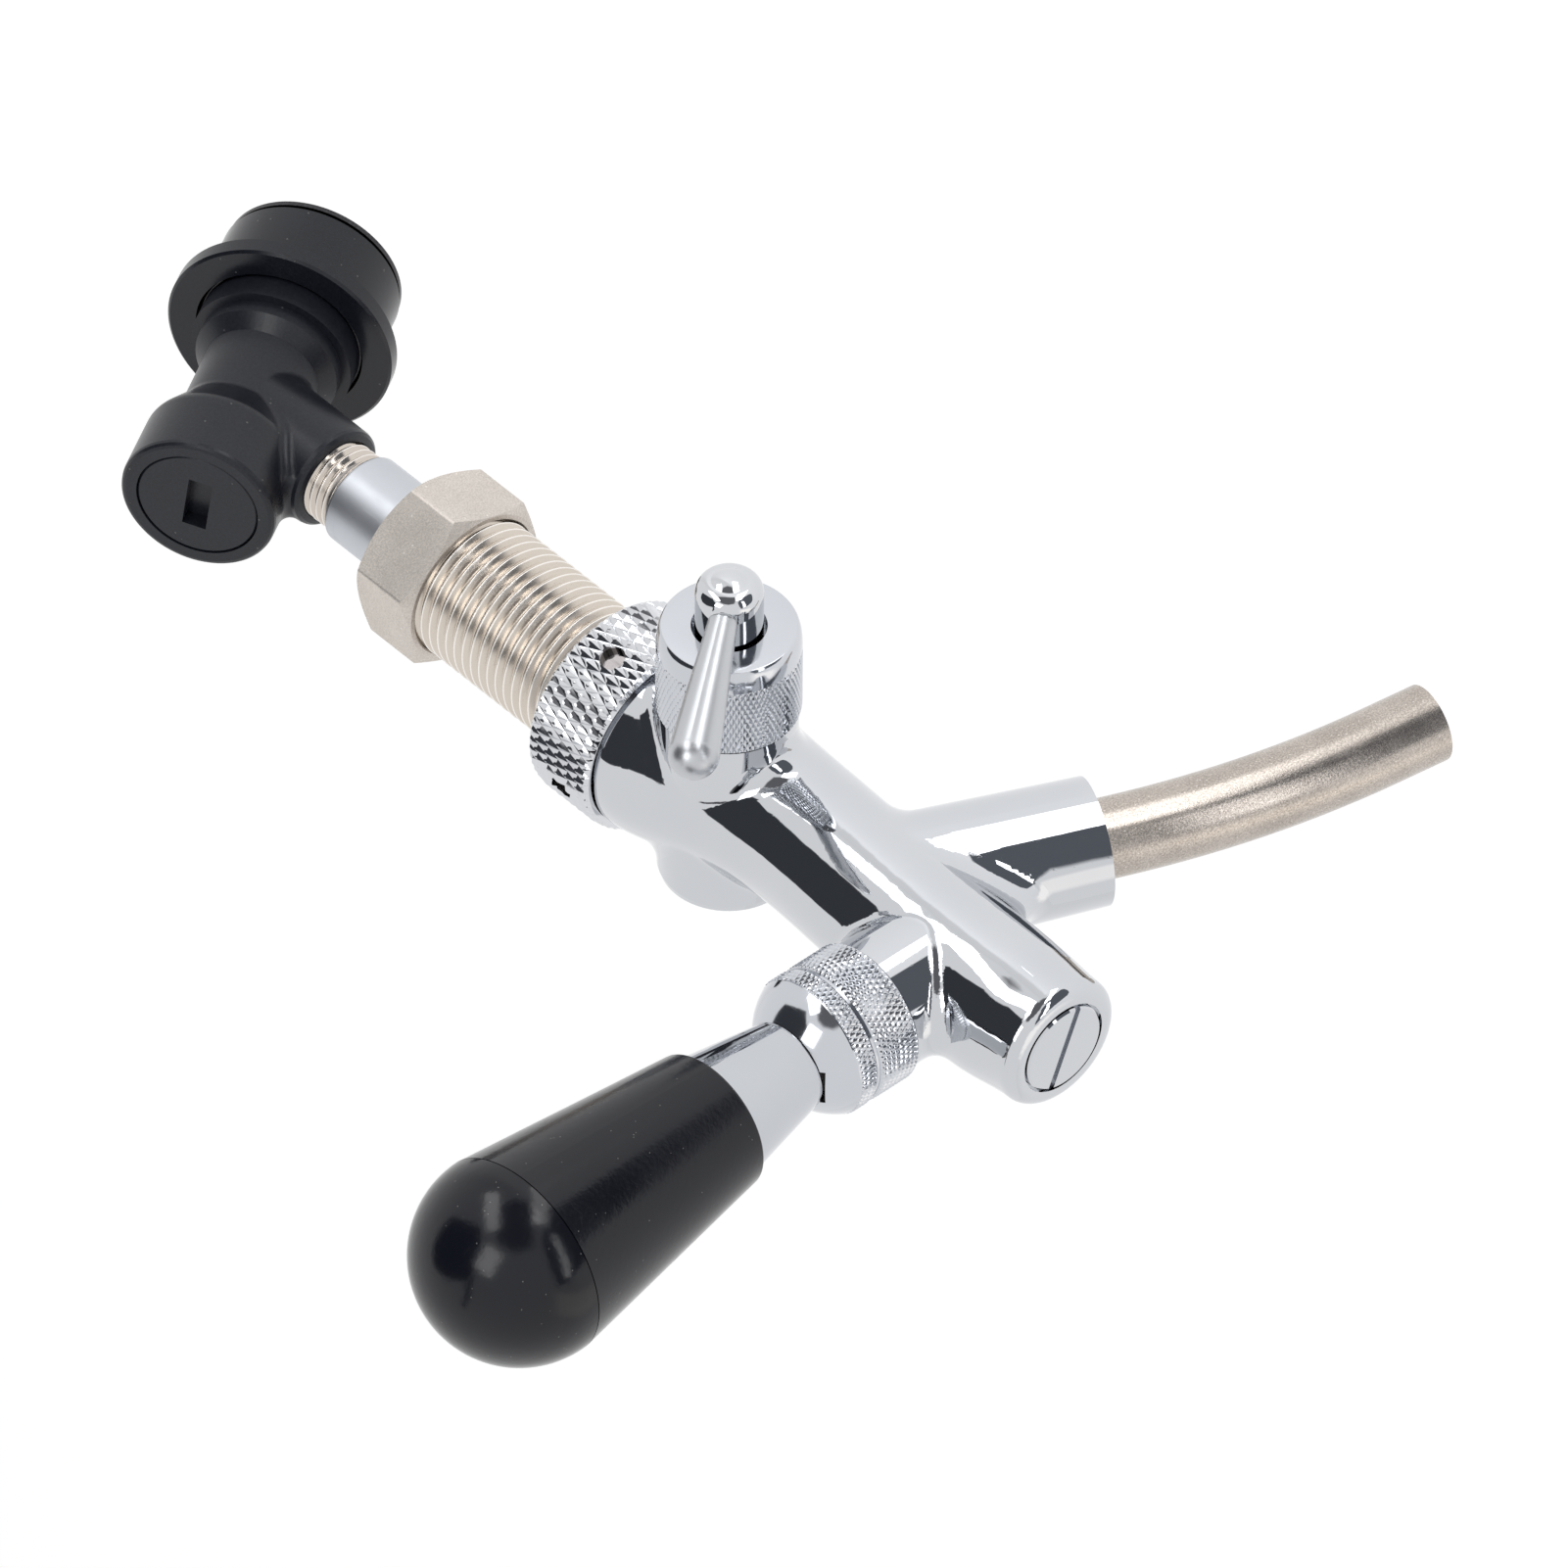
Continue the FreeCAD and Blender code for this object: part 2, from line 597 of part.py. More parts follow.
def adapter_sleeve():
    shape = turned(ORIGIN, Y_DIR, (
        (SLEEVE_FRONT_Y, SLEEVE_BORE_R), (SLEEVE_FRONT_Y, SLEEVE_R), (SLEEVE_REAR_Y, SLEEVE_R),
        (SLEEVE_REAR_Y, STEM_SOCKET_R), (SLEEVE_REAR_Y - STEM_SOCKET_L, STEM_SOCKET_R),
        (SLEEVE_REAR_Y - STEM_SOCKET_L, SLEEVE_BORE_R)))
    return rounded_rim(shape, ORIGIN, Y_DIR, SLEEVE_REAR_Y, SLEEVE_R, SLEEVE_EDGE)


def adapter_stem():
    pressed_r = STEM_SOCKET_R - SEAT_GAP
    front = SLEEVE_REAR_Y - STEM_SOCKET_L + FACE_GAP
    shoulder = SLEEVE_REAR_Y + FACE_GAP
    return turned(ORIGIN, Y_DIR, (
        (front, STEM_BORE_R), (front, pressed_r), (shoulder, pressed_r), (shoulder, STEM_R),
        (STEM_REAR_Y - STEM_CHAMFER, STEM_R), (STEM_REAR_Y, STEM_R - STEM_CHAMFER),
        (STEM_REAR_Y, STEM_BORE_R)))


def stem_seal():
    start = STEM_REAR_Y + FACE_GAP
    return pipe(ORIGIN, Y_DIR, start, start + STEM_SEAL_T, STEM_R - STEM_CHAMFER, STEM_BORE_R)


# Valve

def valve_shaft():
    """Rod, sliding yoke that the lever's tip moves, and front guide tail."""
    yoke_r = CHAMBER_R - RUNNING_GAP
    rear = SEAT_Y + RUNNING_GAP + SEAL_T + SHAFT_NUT_T + SHAFT_PAST_NUT
    shape = turned(ORIGIN, Y_DIR, (
        (TAIL_FRONT_Y, 0), (TAIL_FRONT_Y, ROD_R), (YOKE_FRONT_Y, ROD_R), (YOKE_FRONT_Y, yoke_r),
        (YOKE_REAR_Y, yoke_r), (YOKE_REAR_Y, ROD_R), (rear, ROD_R), (rear, 0)))
    hole_base = Vec(0, tip_centre().y, 0)
    hole_r = LEVER_TIP_R + 2 * RUNNING_GAP
    floor = LEVER_TIP_Z - LEVER_TIP_R - SLOT_SIDE_GAP
    top = CHAMBER_R + BORE_OVERRUN
    shape = shape.cut(rod(hole_base, Z_DIR, floor, top, hole_r))
    mouth = turned(hole_base, Z_DIR, (
        (LEVER_TIP_Z, 0), (LEVER_TIP_Z, hole_r), (top, hole_r + TIP_HOLE_FLARE), (top, 0)))
    return shape.cut(mouth)


def tip_centre():
    reach = (BALL_Z - LEVER_TIP_Z) / math.cos(math.radians(LEVER_LEAN))
    return BALL_CENTRE - LEVER_DIR * reach


def shaft_guide():
    """Fixed bush with the rod seal, between valve chamber and handle space."""
    shape = pipe(ORIGIN, Y_DIR, GUIDE_FRONT_Y, GUIDE_REAR_Y, CHAMBER_R - SNUG_GAP,
                 ROD_R + RUNNING_GAP)
    middle = (GUIDE_FRONT_Y + GUIDE_REAR_Y) / 2
    groove_r = ROD_R + 2 * GUIDE_WIRE + 2 * RUNNING_GAP
    return shape.cut(ring_groove(ORIGIN, Y_DIR, middle, ROD_R, groove_r, GUIDE_WIRE))


def guide_o_ring():
    middle = (GUIDE_FRONT_Y + GUIDE_REAR_Y) / 2
    return ring(ORIGIN, Y_DIR, middle, ROD_R + GUIDE_WIRE + SNUG_GAP, GUIDE_WIRE)


def valve_seal():
    front = SEAT_Y + RUNNING_GAP
    return turned(ORIGIN, Y_DIR, (
        (front, ROD_R + SNUG_GAP), (front, SEAL_R - SEAL_EDGE), (front + SEAL_EDGE, SEAL_R),
        (front + SEAL_T, SEAL_R), (front + SEAL_T, ROD_R + SNUG_GAP)))


def shaft_nut():
    front = SEAT_Y + RUNNING_GAP + SEAL_T + SNUG_GAP
    corners = []
    for i in range(7):
        a = math.radians(60 * i)
        corners.append(Vec(SHAFT_NUT_R * math.cos(a), front, SHAFT_NUT_R * math.sin(a)))
    shape = Part.Face(Part.makePolygon(corners)).extrude(Y_DIR * SHAFT_NUT_T)
    return shape.cut(rod(ORIGIN, Y_DIR, front - BORE_OVERRUN, front + SHAFT_NUT_T + BORE_OVERRUN,
                         ROD_R + SNUG_GAP))


def front_plug():
    """Screwed plug with a coin slot, bored inside to guide the shaft's tail."""
    face = BODY_FRONT_Y - PLUG_RECESS
    groove_r = PLUG_R - 2 * PLUG_WIRE
    half = PLUG_WIRE + GROOVE_MARGIN
    shape = turned(ORIGIN, Y_DIR, (
        (face, 0), (face, PLUG_R - PLUG_RIM), (face + PLUG_RIM, PLUG_R),
        (PLUG_RING_Y - half, PLUG_R), (PLUG_RING_Y - half, groove_r),
        (PLUG_RING_Y + half, groove_r), (PLUG_RING_Y + half, PLUG_R),
        (PLUG_REAR_Y, PLUG_R), (PLUG_REAR_Y, 0)))
    slot = Part.makeBox(2 * (PLUG_R + BORE_OVERRUN), PLUG_SLOT_D + BORE_OVERRUN, PLUG_SLOT_W)
    slot.translate(Vec(-PLUG_R - BORE_OVERRUN, face - BORE_OVERRUN, -PLUG_SLOT_W / 2))
    slot.rotate(ORIGIN, Y_DIR, PLUG_SLOT_ANGLE)
    shape = shape.cut(slot)
    return shape.cut(rod(ORIGIN, Y_DIR, TAIL_FRONT_Y - TAIL_END_ROOM, PLUG_REAR_Y + BORE_OVERRUN,
                         ROD_R + RUNNING_GAP))


def plug_o_ring():
    return ring(ORIGIN, Y_DIR, PLUG_RING_Y, PLUG_R - PLUG_WIRE + RUNNING_GAP, PLUG_WIRE - SNUG_GAP)


# Handle joint

def lock_ring():
    top = LOCK_RING_Z + LOCK_RING_H
    shape = pipe(HANDLE_BASE, Z_DIR, LOCK_RING_Z, top, LOCK_RING_R, HANDLE_THREAD_R + SEAT_GAP)
    shape = chamfered_rim(shape, HANDLE_BASE, Z_DIR, LOCK_RING_Z, LOCK_RING_R, KNURLED_EDGE)
    return chamfered_rim(shape, HANDLE_BASE, Z_DIR, top, LOCK_RING_R, KNURLED_EDGE)


def handle_bonnet():
    """Knurled cap with a spherical dome and a slot that the lever swings in."""
    shoulder = BALL_Z + math.sqrt(BONNET_DOME_R ** 2 - BONNET_SHOULDER_R ** 2)
    outside = rod(HANDLE_BASE, Z_DIR, BONNET_Z, BALL_Z + BONNET_DOME_R, BONNET_R)
    outside = chamfered_rim(outside, HANDLE_BASE, Z_DIR, BONNET_Z, BONNET_R, KNURLED_EDGE)
    dome = Part.makeSphere(BONNET_DOME_R, BALL_CENTRE)
    band = rod(HANDLE_BASE, Z_DIR, BONNET_Z, shoulder - BONNET_BAND_DROP, BONNET_DOME_R)
    shape = outside.common(dome.fuse(band))
    shape = shape.cut(rod(HANDLE_BASE, Z_DIR, BONNET_Z - BORE_OVERRUN, HANDLE_THREAD_TOP + FACE_GAP,
                          HANDLE_THREAD_R + SEAT_GAP))
    shape = shape.cut(Part.makeSphere(DOME_INNER_R, BALL_CENTRE))
    return shape.cut(lever_sweep_above(DOME_INNER_R, BONNET_DOME_R + BORE_OVERRUN))


def lever_sweep_above(near, reach):
    """Room for the lever's neck, from closed to open, through a shell that starts near the ball."""
    neck_angle = math.degrees(math.asin(LEVER_NECK_R / near)) + SWING_MARGIN
    back = UPWARD + LEVER_LEAN - neck_angle
    front = UPWARD + LEVER_LEAN + LEVER_TRAVEL + neck_angle
    return swing_slot(BALL_CENTRE, LEVER_NECK_R + SLOT_SIDE_GAP, reach, back, front)


def ball_washer():
    """Slippery spherical washer between the ball and the bonnet."""
    outer = DOME_INNER_R - RUNNING_GAP
    shell = Part.makeSphere(outer, BALL_CENTRE)
    shell = shell.cut(Part.makeSphere(BALL_R + RUNNING_GAP, BALL_CENTRE))
    upper = rod(HANDLE_BASE, Z_DIR, HANDLE_THREAD_TOP + 2 * FACE_GAP, BALL_Z + outer, outer)
    shape = shell.common(upper)
    return shape.cut(lever_sweep_above(BALL_R, outer + BORE_OVERRUN))


def ball_seat():
    """Cup under the ball that stops liquid from reaching the handle."""
    outer = BALL_POCKET_R - SEAT_GAP
    base = BALL_POCKET_Z + FACE_GAP
    shape = rod(HANDLE_BASE, Z_DIR, base, BALL_SEAT_TOP, outer)
    shape = shape.cut(Part.makeSphere(BALL_R + RUNNING_GAP, BALL_CENTRE))
    return shape.cut(rod(HANDLE_BASE, Z_DIR, base - BORE_OVERRUN, BALL_Z, BALL_SEAT_HOLE_R))


def lever():
    """Ball, tail with its tip, and threaded stud for the handle."""
    tip = tip_centre()
    shape = Part.makeSphere(BALL_R, BALL_CENTRE)
    tail_length = (tip - BALL_CENTRE).Length
    shape = shape.fuse(turned(BALL_CENTRE, LEVER_DIR * -1, (
        (0, 0), (0, LEVER_NECK_R), (BALL_R, LEVER_TAIL_ROOT_R), (tail_length, LEVER_TAIL_R),
        (tail_length, 0))))
    shape = shape.fuse(Part.makeSphere(LEVER_TIP_R, tip))
    return clean(shape.fuse(turned(BALL_CENTRE, LEVER_DIR, (
        (0, 0), (0, LEVER_NECK_R), (LEVER_CONE_S, LEVER_NECK_R),
        (LEVER_CONE_S + LEVER_CONE_L, STUD_R), (STUD_END, STUD_R), (STUD_END, 0)))))


def handle_ferrule():
    """Chrome cone whose hollow foot slides over the bonnet's dome."""
    inner = STUD_R + SEAT_GAP
    foot_r = BONNET_DOME_R + DOME_GAP
    start = foot_r * math.cos(math.asin(FERRULE_START_R / foot_r))
    skirt_r = GRIP_START_R - GRIP_SKIRT_T - SEAT_GAP
    skirt_end = GRIP_START + GRIP_SKIRT_DEPTH - 2 * FACE_GAP
    rim = GRIP_START - GRIP_FOOT_GAP
    outer_at_grip = FERRULE_START_R + (FERRULE_END_R - FERRULE_START_R) * (
        (GRIP_START - start) / (FERRULE_END - start))
    shape = turned(BALL_CENTRE, LEVER_DIR, (
        (start - FERRULE_LIP, inner), (start - FERRULE_LIP, FERRULE_START_R),
        (start, FERRULE_START_R), (rim, outer_at_grip), (rim, skirt_r), (skirt_end, skirt_r),
        (skirt_end, inner)))
    return shape.cut(Part.makeSphere(foot_r, BALL_CENTRE))


def grip_radius(distance):
    share = (distance - GRIP_START) / (GRIP_END - GRIP_START)
    return GRIP_START_R + (GRIP_END_R - GRIP_START_R) * share


def handle_grip():
    """Tapered moulded grip, open below for the ferrule's spigot."""
    end = GRIP_END - GRIP_SEAM / 2
    skirt = GRIP_START_R - GRIP_SKIRT_T
    bore_r = INSERT_R + SEAT_GAP
    shape = turned(BALL_CENTRE, LEVER_DIR, (
        (GRIP_START, skirt), (GRIP_START, GRIP_START_R), (end, grip_radius(end)), (end, 0),
        (end - GRIP_CROWN_T, 0), (end - GRIP_CROWN_T, bore_r),
        (GRIP_START + GRIP_SKIRT_DEPTH, bore_r),
        (GRIP_START + GRIP_SKIRT_DEPTH, skirt)))
    return rounded_rim(shape, BALL_CENTRE, LEVER_DIR, GRIP_START, GRIP_START_R, GRIP_EDGE)


def grip_cap():
    """Round end of the grip, a separate moulding."""
    centre = point_on(BALL_CENTRE, LEVER_DIR, GRIP_END)
    shape = Part.makeSphere(GRIP_END_R, centre)
    keep = rod(BALL_CENTRE, LEVER_DIR, GRIP_END + GRIP_SEAM / 2, GRIP_END + GRIP_END_R,
               GRIP_END_R)
    return shape.common(keep)


def grip_insert():
    """Metal thread insert moulded into the grip, screwed on the lever's stud."""
    end = GRIP_END - GRIP_SEAM / 2 - GRIP_CROWN_T - FACE_GAP
    return pipe(BALL_CENTRE, LEVER_DIR, INSERT_START, end, INSERT_R, STUD_R + SEAT_GAP)


# Spout

def spout_path():
    """Centre line: straight in the boss, one gentle bend, straight tip."""
    start = point_on(SPOUT_BASE, SPOUT_DIR, SPOUT_START)
    bend_start = point_on(SPOUT_BASE, SPOUT_DIR, SPOUT_STRAIGHT_END)
    a0 = math.radians(SPOUT_LEAN)
    inward = Vec(0, math.cos(a0), -math.sin(a0))
    centre = bend_start + inward * SPOUT_BEND_R

    def on_bend(turn):
        a = a0 - math.radians(turn)
        return centre - Vec(0, math.cos(a), -math.sin(a)) * SPOUT_BEND_R

    bend_mid = on_bend(SPOUT_BEND_ANGLE / 2)
    bend_end = on_bend(SPOUT_BEND_ANGLE)
    tip_dir = axis_at(SPOUT_LEAN - SPOUT_BEND_ANGLE, -1)
    tip = point_on(bend_end, tip_dir, SPOUT_TIP_LENGTH)
    path = Part.Wire([
        Part.makeLine(start, bend_start),
        Part.Arc(bend_start, bend_mid, bend_end).toShape(),
        Part.makeLine(bend_end, tip),
    ])
    return path, start


def spout_tube():
    path, start = spout_path()
    outer = Part.Wire([Part.Circle(start, SPOUT_DIR, SPOUT_R).toShape()])
    inner = Part.Wire([Part.Circle(start, SPOUT_DIR, SPOUT_R - SPOUT_WALL).toShape()])
    return path.makePipeShell([outer], True, False).cut(path.makePipeShell([inner], True, False))


def spout_o_rings():
    rings = [ring(SPOUT_BASE, SPOUT_DIR, s, SPOUT_R + SPOUT_O_RING_WIRE + RUNNING_GAP,
                  SPOUT_O_RING_WIRE) for s in SPOUT_O_RING_S]
    return Part.makeCompound(rings)


# Flow control

def control_cap():
    bore_r = CONTROL_THREAD_R + SEAT_GAP
    inside = control_flange_top() + FACE_GAP
    return turned(CONTROL_BASE, X_DIR, (
        (CONTROL_CAP_BASE, bore_r), (CONTROL_CAP_BASE, CONTROL_CAP_R - KNURLED_EDGE),
        (CONTROL_CAP_BASE + KNURLED_EDGE, CONTROL_CAP_R), (CONTROL_CAP_SHOULDER, CONTROL_CAP_R),
        (CONTROL_CAP_BEVEL, CONTROL_CAP_BEVEL_R), (CONTROL_CAP_TOP, CONTROL_CAP_FACE_R),
        (CONTROL_CAP_TOP, CONTROL_CAP_HOLE_R), (inside, CONTROL_CAP_HOLE_R), (inside, bore_r)))


def control_flange_top():
    return CONTROL_THREAD_TOP + FACE_GAP + CONTROL_FLANGE_T


def control_stem():
    """Turning stem: domed head, trapped flange, grooved shaft and cam pin."""
    side = CONTROL_STEM_TOP - CONTROL_STEM_DOME
    groove_r = CONTROL_SHAFT_R - 2 * CONTROL_WIRE
    half = CONTROL_WIRE + GROOVE_MARGIN
    profile = [(CONTROL_SHAFT_BASE, 0), (CONTROL_SHAFT_BASE, CONTROL_SHAFT_R)]
    for x in CONTROL_RING_X:
        profile += [(x - half, CONTROL_SHAFT_R), (x - half, groove_r), (x + half, groove_r),
                    (x + half, CONTROL_SHAFT_R)]
    flange_base = CONTROL_THREAD_TOP + FACE_GAP
    profile += [(flange_base, CONTROL_SHAFT_R), (flange_base, CONTROL_FLANGE_R),
                (control_flange_top(), CONTROL_FLANGE_R), (control_flange_top(), CONTROL_STEM_R),
                (side, CONTROL_STEM_R), (side, 0)]
    shape = turned(CONTROL_BASE, X_DIR, profile)
    shape = rounded_rim(shape, CONTROL_BASE, X_DIR, side, CONTROL_STEM_R, CONTROL_STEM_ROUND)
    flat_r = CONTROL_STEM_R - CONTROL_STEM_ROUND
    crown_r = (flat_r ** 2 + CONTROL_STEM_DOME ** 2) / (2 * CONTROL_STEM_DOME)
    crown = Part.makeSphere(crown_r, point_on(CONTROL_BASE, X_DIR, CONTROL_STEM_TOP - crown_r))
    shape = shape.fuse(crown.common(rod(CONTROL_BASE, X_DIR, side, CONTROL_STEM_TOP, flat_r)))
    pin_base = CONTROL_BASE + cam_offset()
    shape = shape.fuse(rod(pin_base, X_DIR, CAM_BASE, CONTROL_SHAFT_BASE, CAM_R))
    return clean(shape)


def cam_offset():
    """Pin centre from the stem axis, across X, for the lever's rest angle."""
    a = math.radians(CAM_REST)
    return Vec(0, math.sin(a), math.cos(a)) * CAM_OFFSET


def control_o_rings():
    rings = [ring(CONTROL_BASE, X_DIR, x, CONTROL_SHAFT_R - CONTROL_WIRE + SNUG_GAP, CONTROL_WIRE - SNUG_GAP)
             for x in CONTROL_RING_X]
    return Part.makeCompound(rings)


def control_lever():
    """Tapered arm with a round end, screwed into the stem's head."""
    a = math.radians(CONTROL_REST)
    across = Vec(0, -math.cos(a), math.sin(a))
    root = CONTROL_BASE + X_DIR * LEVER_ROOT_X
    end = CONTROL_BASE + X_DIR * LEVER_END_X + across * LEVER_END_REACH
    direction = (end - root).normalize()
    length = (end - root).Length
    start = CONTROL_STEM_R / direction.dot(across) - LEVER_ROOT_R
    shape = turned(root, direction, (
        (start, 0), (start, LEVER_ROOT_R), (length, LEVER_END_R), (length, 0)))
    shape = shape.fuse(Part.makeSphere(LEVER_END_R, end))
    return clean(shape.cut(rod(CONTROL_BASE, X_DIR, CONTROL_CAP_TOP, CONTROL_STEM_TOP,
                               CONTROL_STEM_R + SNUG_GAP)))


def compensator_cone():
    """Plastic cone that the cam pin slides along the tapering bore."""
    groove_y = CONTROL_Y + cam_offset().y
    half = CAM_R + CAM_GAP
    slope = (CONE_REAR_R - CONE_FRONT_R) / (CONE_REAR_Y - CONE_FRONT_Y)

    def radius(y):
        return CONE_FRONT_R + slope * (y - CONE_FRONT_Y)

    return turned(ORIGIN, Y_DIR, (
        (CONE_FRONT_Y, 0), (CONE_FRONT_Y, CONE_FRONT_R - CONE_STEP),
        (CONE_FRONT_Y + CONE_NOSE, radius(CONE_FRONT_Y + CONE_NOSE)),
        (groove_y - half, radius(groove_y - half)), (groove_y - half, CONE_GROOVE_R),
        (groove_y + half, CONE_GROOVE_R), (groove_y + half, radius(groove_y + half)),
        (CONE_REAR_Y - CONE_EDGE, radius(CONE_REAR_Y - CONE_EDGE)),
        (CONE_REAR_Y, CONE_REAR_R - CONE_STEP),
        (CONE_REAR_Y, 0)))


# Quick disconnect

def disconnect_body():
    """Moulded Y: capped housing, neck with steps, socket and side arm."""
    b = DISCONNECT_BASE
    d = DISCONNECT_DIR
    shape = turned(b, d, (
        (0, 0), (0, HOUSING_R), (HOUSING_SHOULDER_S, HOUSING_R), (NECK_S, NECK_R),
        (FLARE_S, NECK_R), (STEP_ONE_S, STEP_ONE_R), (STEP_TWO_S, STEP_ONE_R),
        (STEP_TWO_S, STEP_TWO_R), (STEP_END_S, STEP_TWO_R), (STEP_END_S, SKIRT_R),
        (MOUTH_S, SKIRT_R), (MOUTH_S, 0)))
    shape = rounded_rim(shape, b, d, HOUSING_SHOULDER_S, HOUSING_R, HOUSING_ROUND)
    shape = rounded_rim(shape, b, d, NECK_S, NECK_R, NECK_ROUND)
    shape = eased_rim(shape, b, d, 0, HOUSING_R, HOUSING_EDGE)
    arm = rod(ORIGIN, Y_DIR, ARM_MOUTH_Y, DISCONNECT_CROSS_Y, ARM_R)
    arm = eased_rim(arm, ORIGIN, Y_DIR, ARM_MOUTH_Y, ARM_R, ARM_EDGE)
    shape = blended(shape, arm, ARM_BLEND)
    # cap thread, poppet chamber and nose hole
    shape = shape.cut(rod(b, d, -BORE_OVERRUN, CAP_DEPTH + FACE_GAP, CAP_R + SEAT_GAP))
    shape = shape.cut(rod(b, d, 0, CHAMBER_S_END, CHAMBER_S_R))
    shape = shape.cut(rod(b, d, 0, MOUTH_S, NOSE_HOLE_R))
    shape = shape.cut(post_socket())
    for i in range(LOCK_BALLS):
        hole = rod(point_on(b, d, LOCK_BALL_S), ball_direction(i), SOCKET_R - BORE_OVERRUN,
                   SKIRT_R + BORE_OVERRUN, LOCK_BALL_R + RUNNING_GAP)
        shape = shape.cut(hole)
    # arm thread and its passage
    shape = shape.cut(rod(ORIGIN, Y_DIR, ARM_MOUTH_Y - BORE_OVERRUN, ARM_BORE_END_Y,
                          STEM_R + SEAT_GAP))
    shape = shape.cut(rod(ORIGIN, Y_DIR, ARM_MOUTH_Y, DISCONNECT_CROSS_Y, ARM_PASSAGE_R))
    groove_start = SLIDER_END_S + FACE_GAP
    groove = pipe(b, d, groove_start, groove_start + SNAP_RING_T + 2 * FACE_GAP,
                  SKIRT_R + BORE_OVERRUN, SKIRT_R - SNAP_RING_DEPTH - SEAT_GAP)
    return clean(shape.cut(groove))


def post_socket():
    """Space for the keg post: inner bore, ball groove and chamfered mouth."""
    groove_start = LOCK_BALL_S - BALL_GROOVE_HALF
    groove_end = LOCK_BALL_S + BALL_GROOVE_HALF
    mouth_r = SOCKET_R + MOUTH_CHAMFER
    return turned(DISCONNECT_BASE, DISCONNECT_DIR, (
        (SOCKET_END_S, 0), (SOCKET_END_S, SOCKET_INNER_R), (SOCKET_LAND_S, SOCKET_INNER_R),
        (SOCKET_LAND_S, SOCKET_R), (groove_start, SOCKET_R), (groove_start, BALL_GROOVE_R),
        (groove_end, BALL_GROOVE_R), (groove_end, SOCKET_R), (MOUTH_S - MOUTH_CHAMFER, SOCKET_R),
        (MOUTH_S, mouth_r), (MOUTH_S + BORE_OVERRUN, mouth_r), (MOUTH_S + BORE_OVERRUN, 0)))


def ball_direction(index):
    """Radial direction of one locking ball, across the disconnect's axis."""
    a = math.radians(90 + 360 / LOCK_BALLS * index)
    side = DISCONNECT_DIR.cross(X_DIR)
    return X_DIR * math.cos(a) + side * math.sin(a)


def disconnect_cap():
    b = DISCONNECT_BASE
    d = DISCONNECT_DIR
    groove_r = CAP_R - 2 * CAP_WIRE
    half = CAP_WIRE + GROOVE_MARGIN
    face = CAP_FACE_DROP
    shape = turned(b, d, (
        (face, 0), (face, CAP_R - CAP_CHAMFER), (face + CAP_CHAMFER, CAP_R),
        (CAP_RING_S - half, CAP_R), (CAP_RING_S - half, groove_r), (CAP_RING_S + half, groove_r),
        (CAP_RING_S + half, CAP_R), (CAP_DEPTH, CAP_R), (CAP_DEPTH, 0)))
    slot = Part.makeBox(CAP_SLOT_L, CAP_SLOT_W, CAP_SLOT_D + BORE_OVERRUN)
    slot.translate(Vec(-CAP_SLOT_L / 2, -CAP_SLOT_W / 2, -BORE_OVERRUN))
    slot.rotate(ORIGIN, Z_DIR, CAP_SLOT_TURN)
    turn = FreeCAD.Rotation(X_DIR, d.cross(X_DIR), d, "ZXY")
    slot.Placement = FreeCAD.Placement(b, turn).multiply(slot.Placement)
    return shape.cut(slot)


def cap_o_ring():
    return ring(DISCONNECT_BASE, DISCONNECT_DIR, CAP_RING_S, CAP_R - CAP_WIRE + RUNNING_GAP,
                CAP_WIRE - SNUG_GAP)


def locking_collar():
    """Sprung sleeve with a finger flange and a ramp over the balls."""
    front = FLANGE_S + FLANGE_T
    return turned(DISCONNECT_BASE, DISCONNECT_DIR, (
        (FLANGE_S, SLIDER_BORE_R), (FLANGE_S, FLANGE_R - FLANGE_CORNER),
        (FLANGE_S + FLANGE_CORNER, FLANGE_R), (front - FLANGE_BEVEL_S, FLANGE_R),
        (front, FLANGE_R - FLANGE_BEVEL_R), (front, SLIDER_R),
        (SLIDER_END_S - SLIDER_EDGE, SLIDER_R), (SLIDER_END_S, SLIDER_R - SLIDER_EDGE),
        (SLIDER_END_S, RAMP_END_R), (LOCK_BALL_S, RAMP_START_R), (SLIDER_LAND_S, RAMP_START_R),
        (SLIDER_LAND_S, SLIDER_BORE_R)))


def coil_spring(base, direction, start, end, radius, wire, coils):
    """Compression spring of square wire between two distances along an axis."""
    height = end - start - 2 * wire
    helix = Part.makeHelix(height / coils, height, radius)
    section = Part.makePolygon([
        Vec(radius - wire, 0, -wire), Vec(radius + wire, 0, -wire), Vec(radius + wire, 0, wire),
        Vec(radius - wire, 0, wire), Vec(radius - wire, 0, -wire)])
    coil = Part.Wire(helix).makePipeShell([section], True, False)
    coil.Placement = FreeCAD.Placement(point_on(base, direction, start + wire),
                                       FreeCAD.Rotation(Z_DIR, direction))
    return coil


def collar_spring():
    return coil_spring(DISCONNECT_BASE, DISCONNECT_DIR, STEP_END_S + SPRING_END_GAP,
                       SLIDER_LAND_S - SPRING_END_GAP,
                       COLLAR_SPRING_R, SPRING_WIRE, COLLAR_SPRING_COILS)


def snap_ring():
    start = SLIDER_END_S + 2 * FACE_GAP
    shape = pipe(DISCONNECT_BASE, DISCONNECT_DIR, start, start + SNAP_RING_T, SNAP_RING_R,
                 SKIRT_R - SNAP_RING_DEPTH)
    reach = 2 * SNAP_RING_R
    gap = Part.makeBox(SNAP_RING_OPENING, reach, reach)
    gap.translate(point_on(DISCONNECT_BASE, DISCONNECT_DIR, start) - X_DIR * SNAP_RING_OPENING / 2)
    return shape.cut(gap)


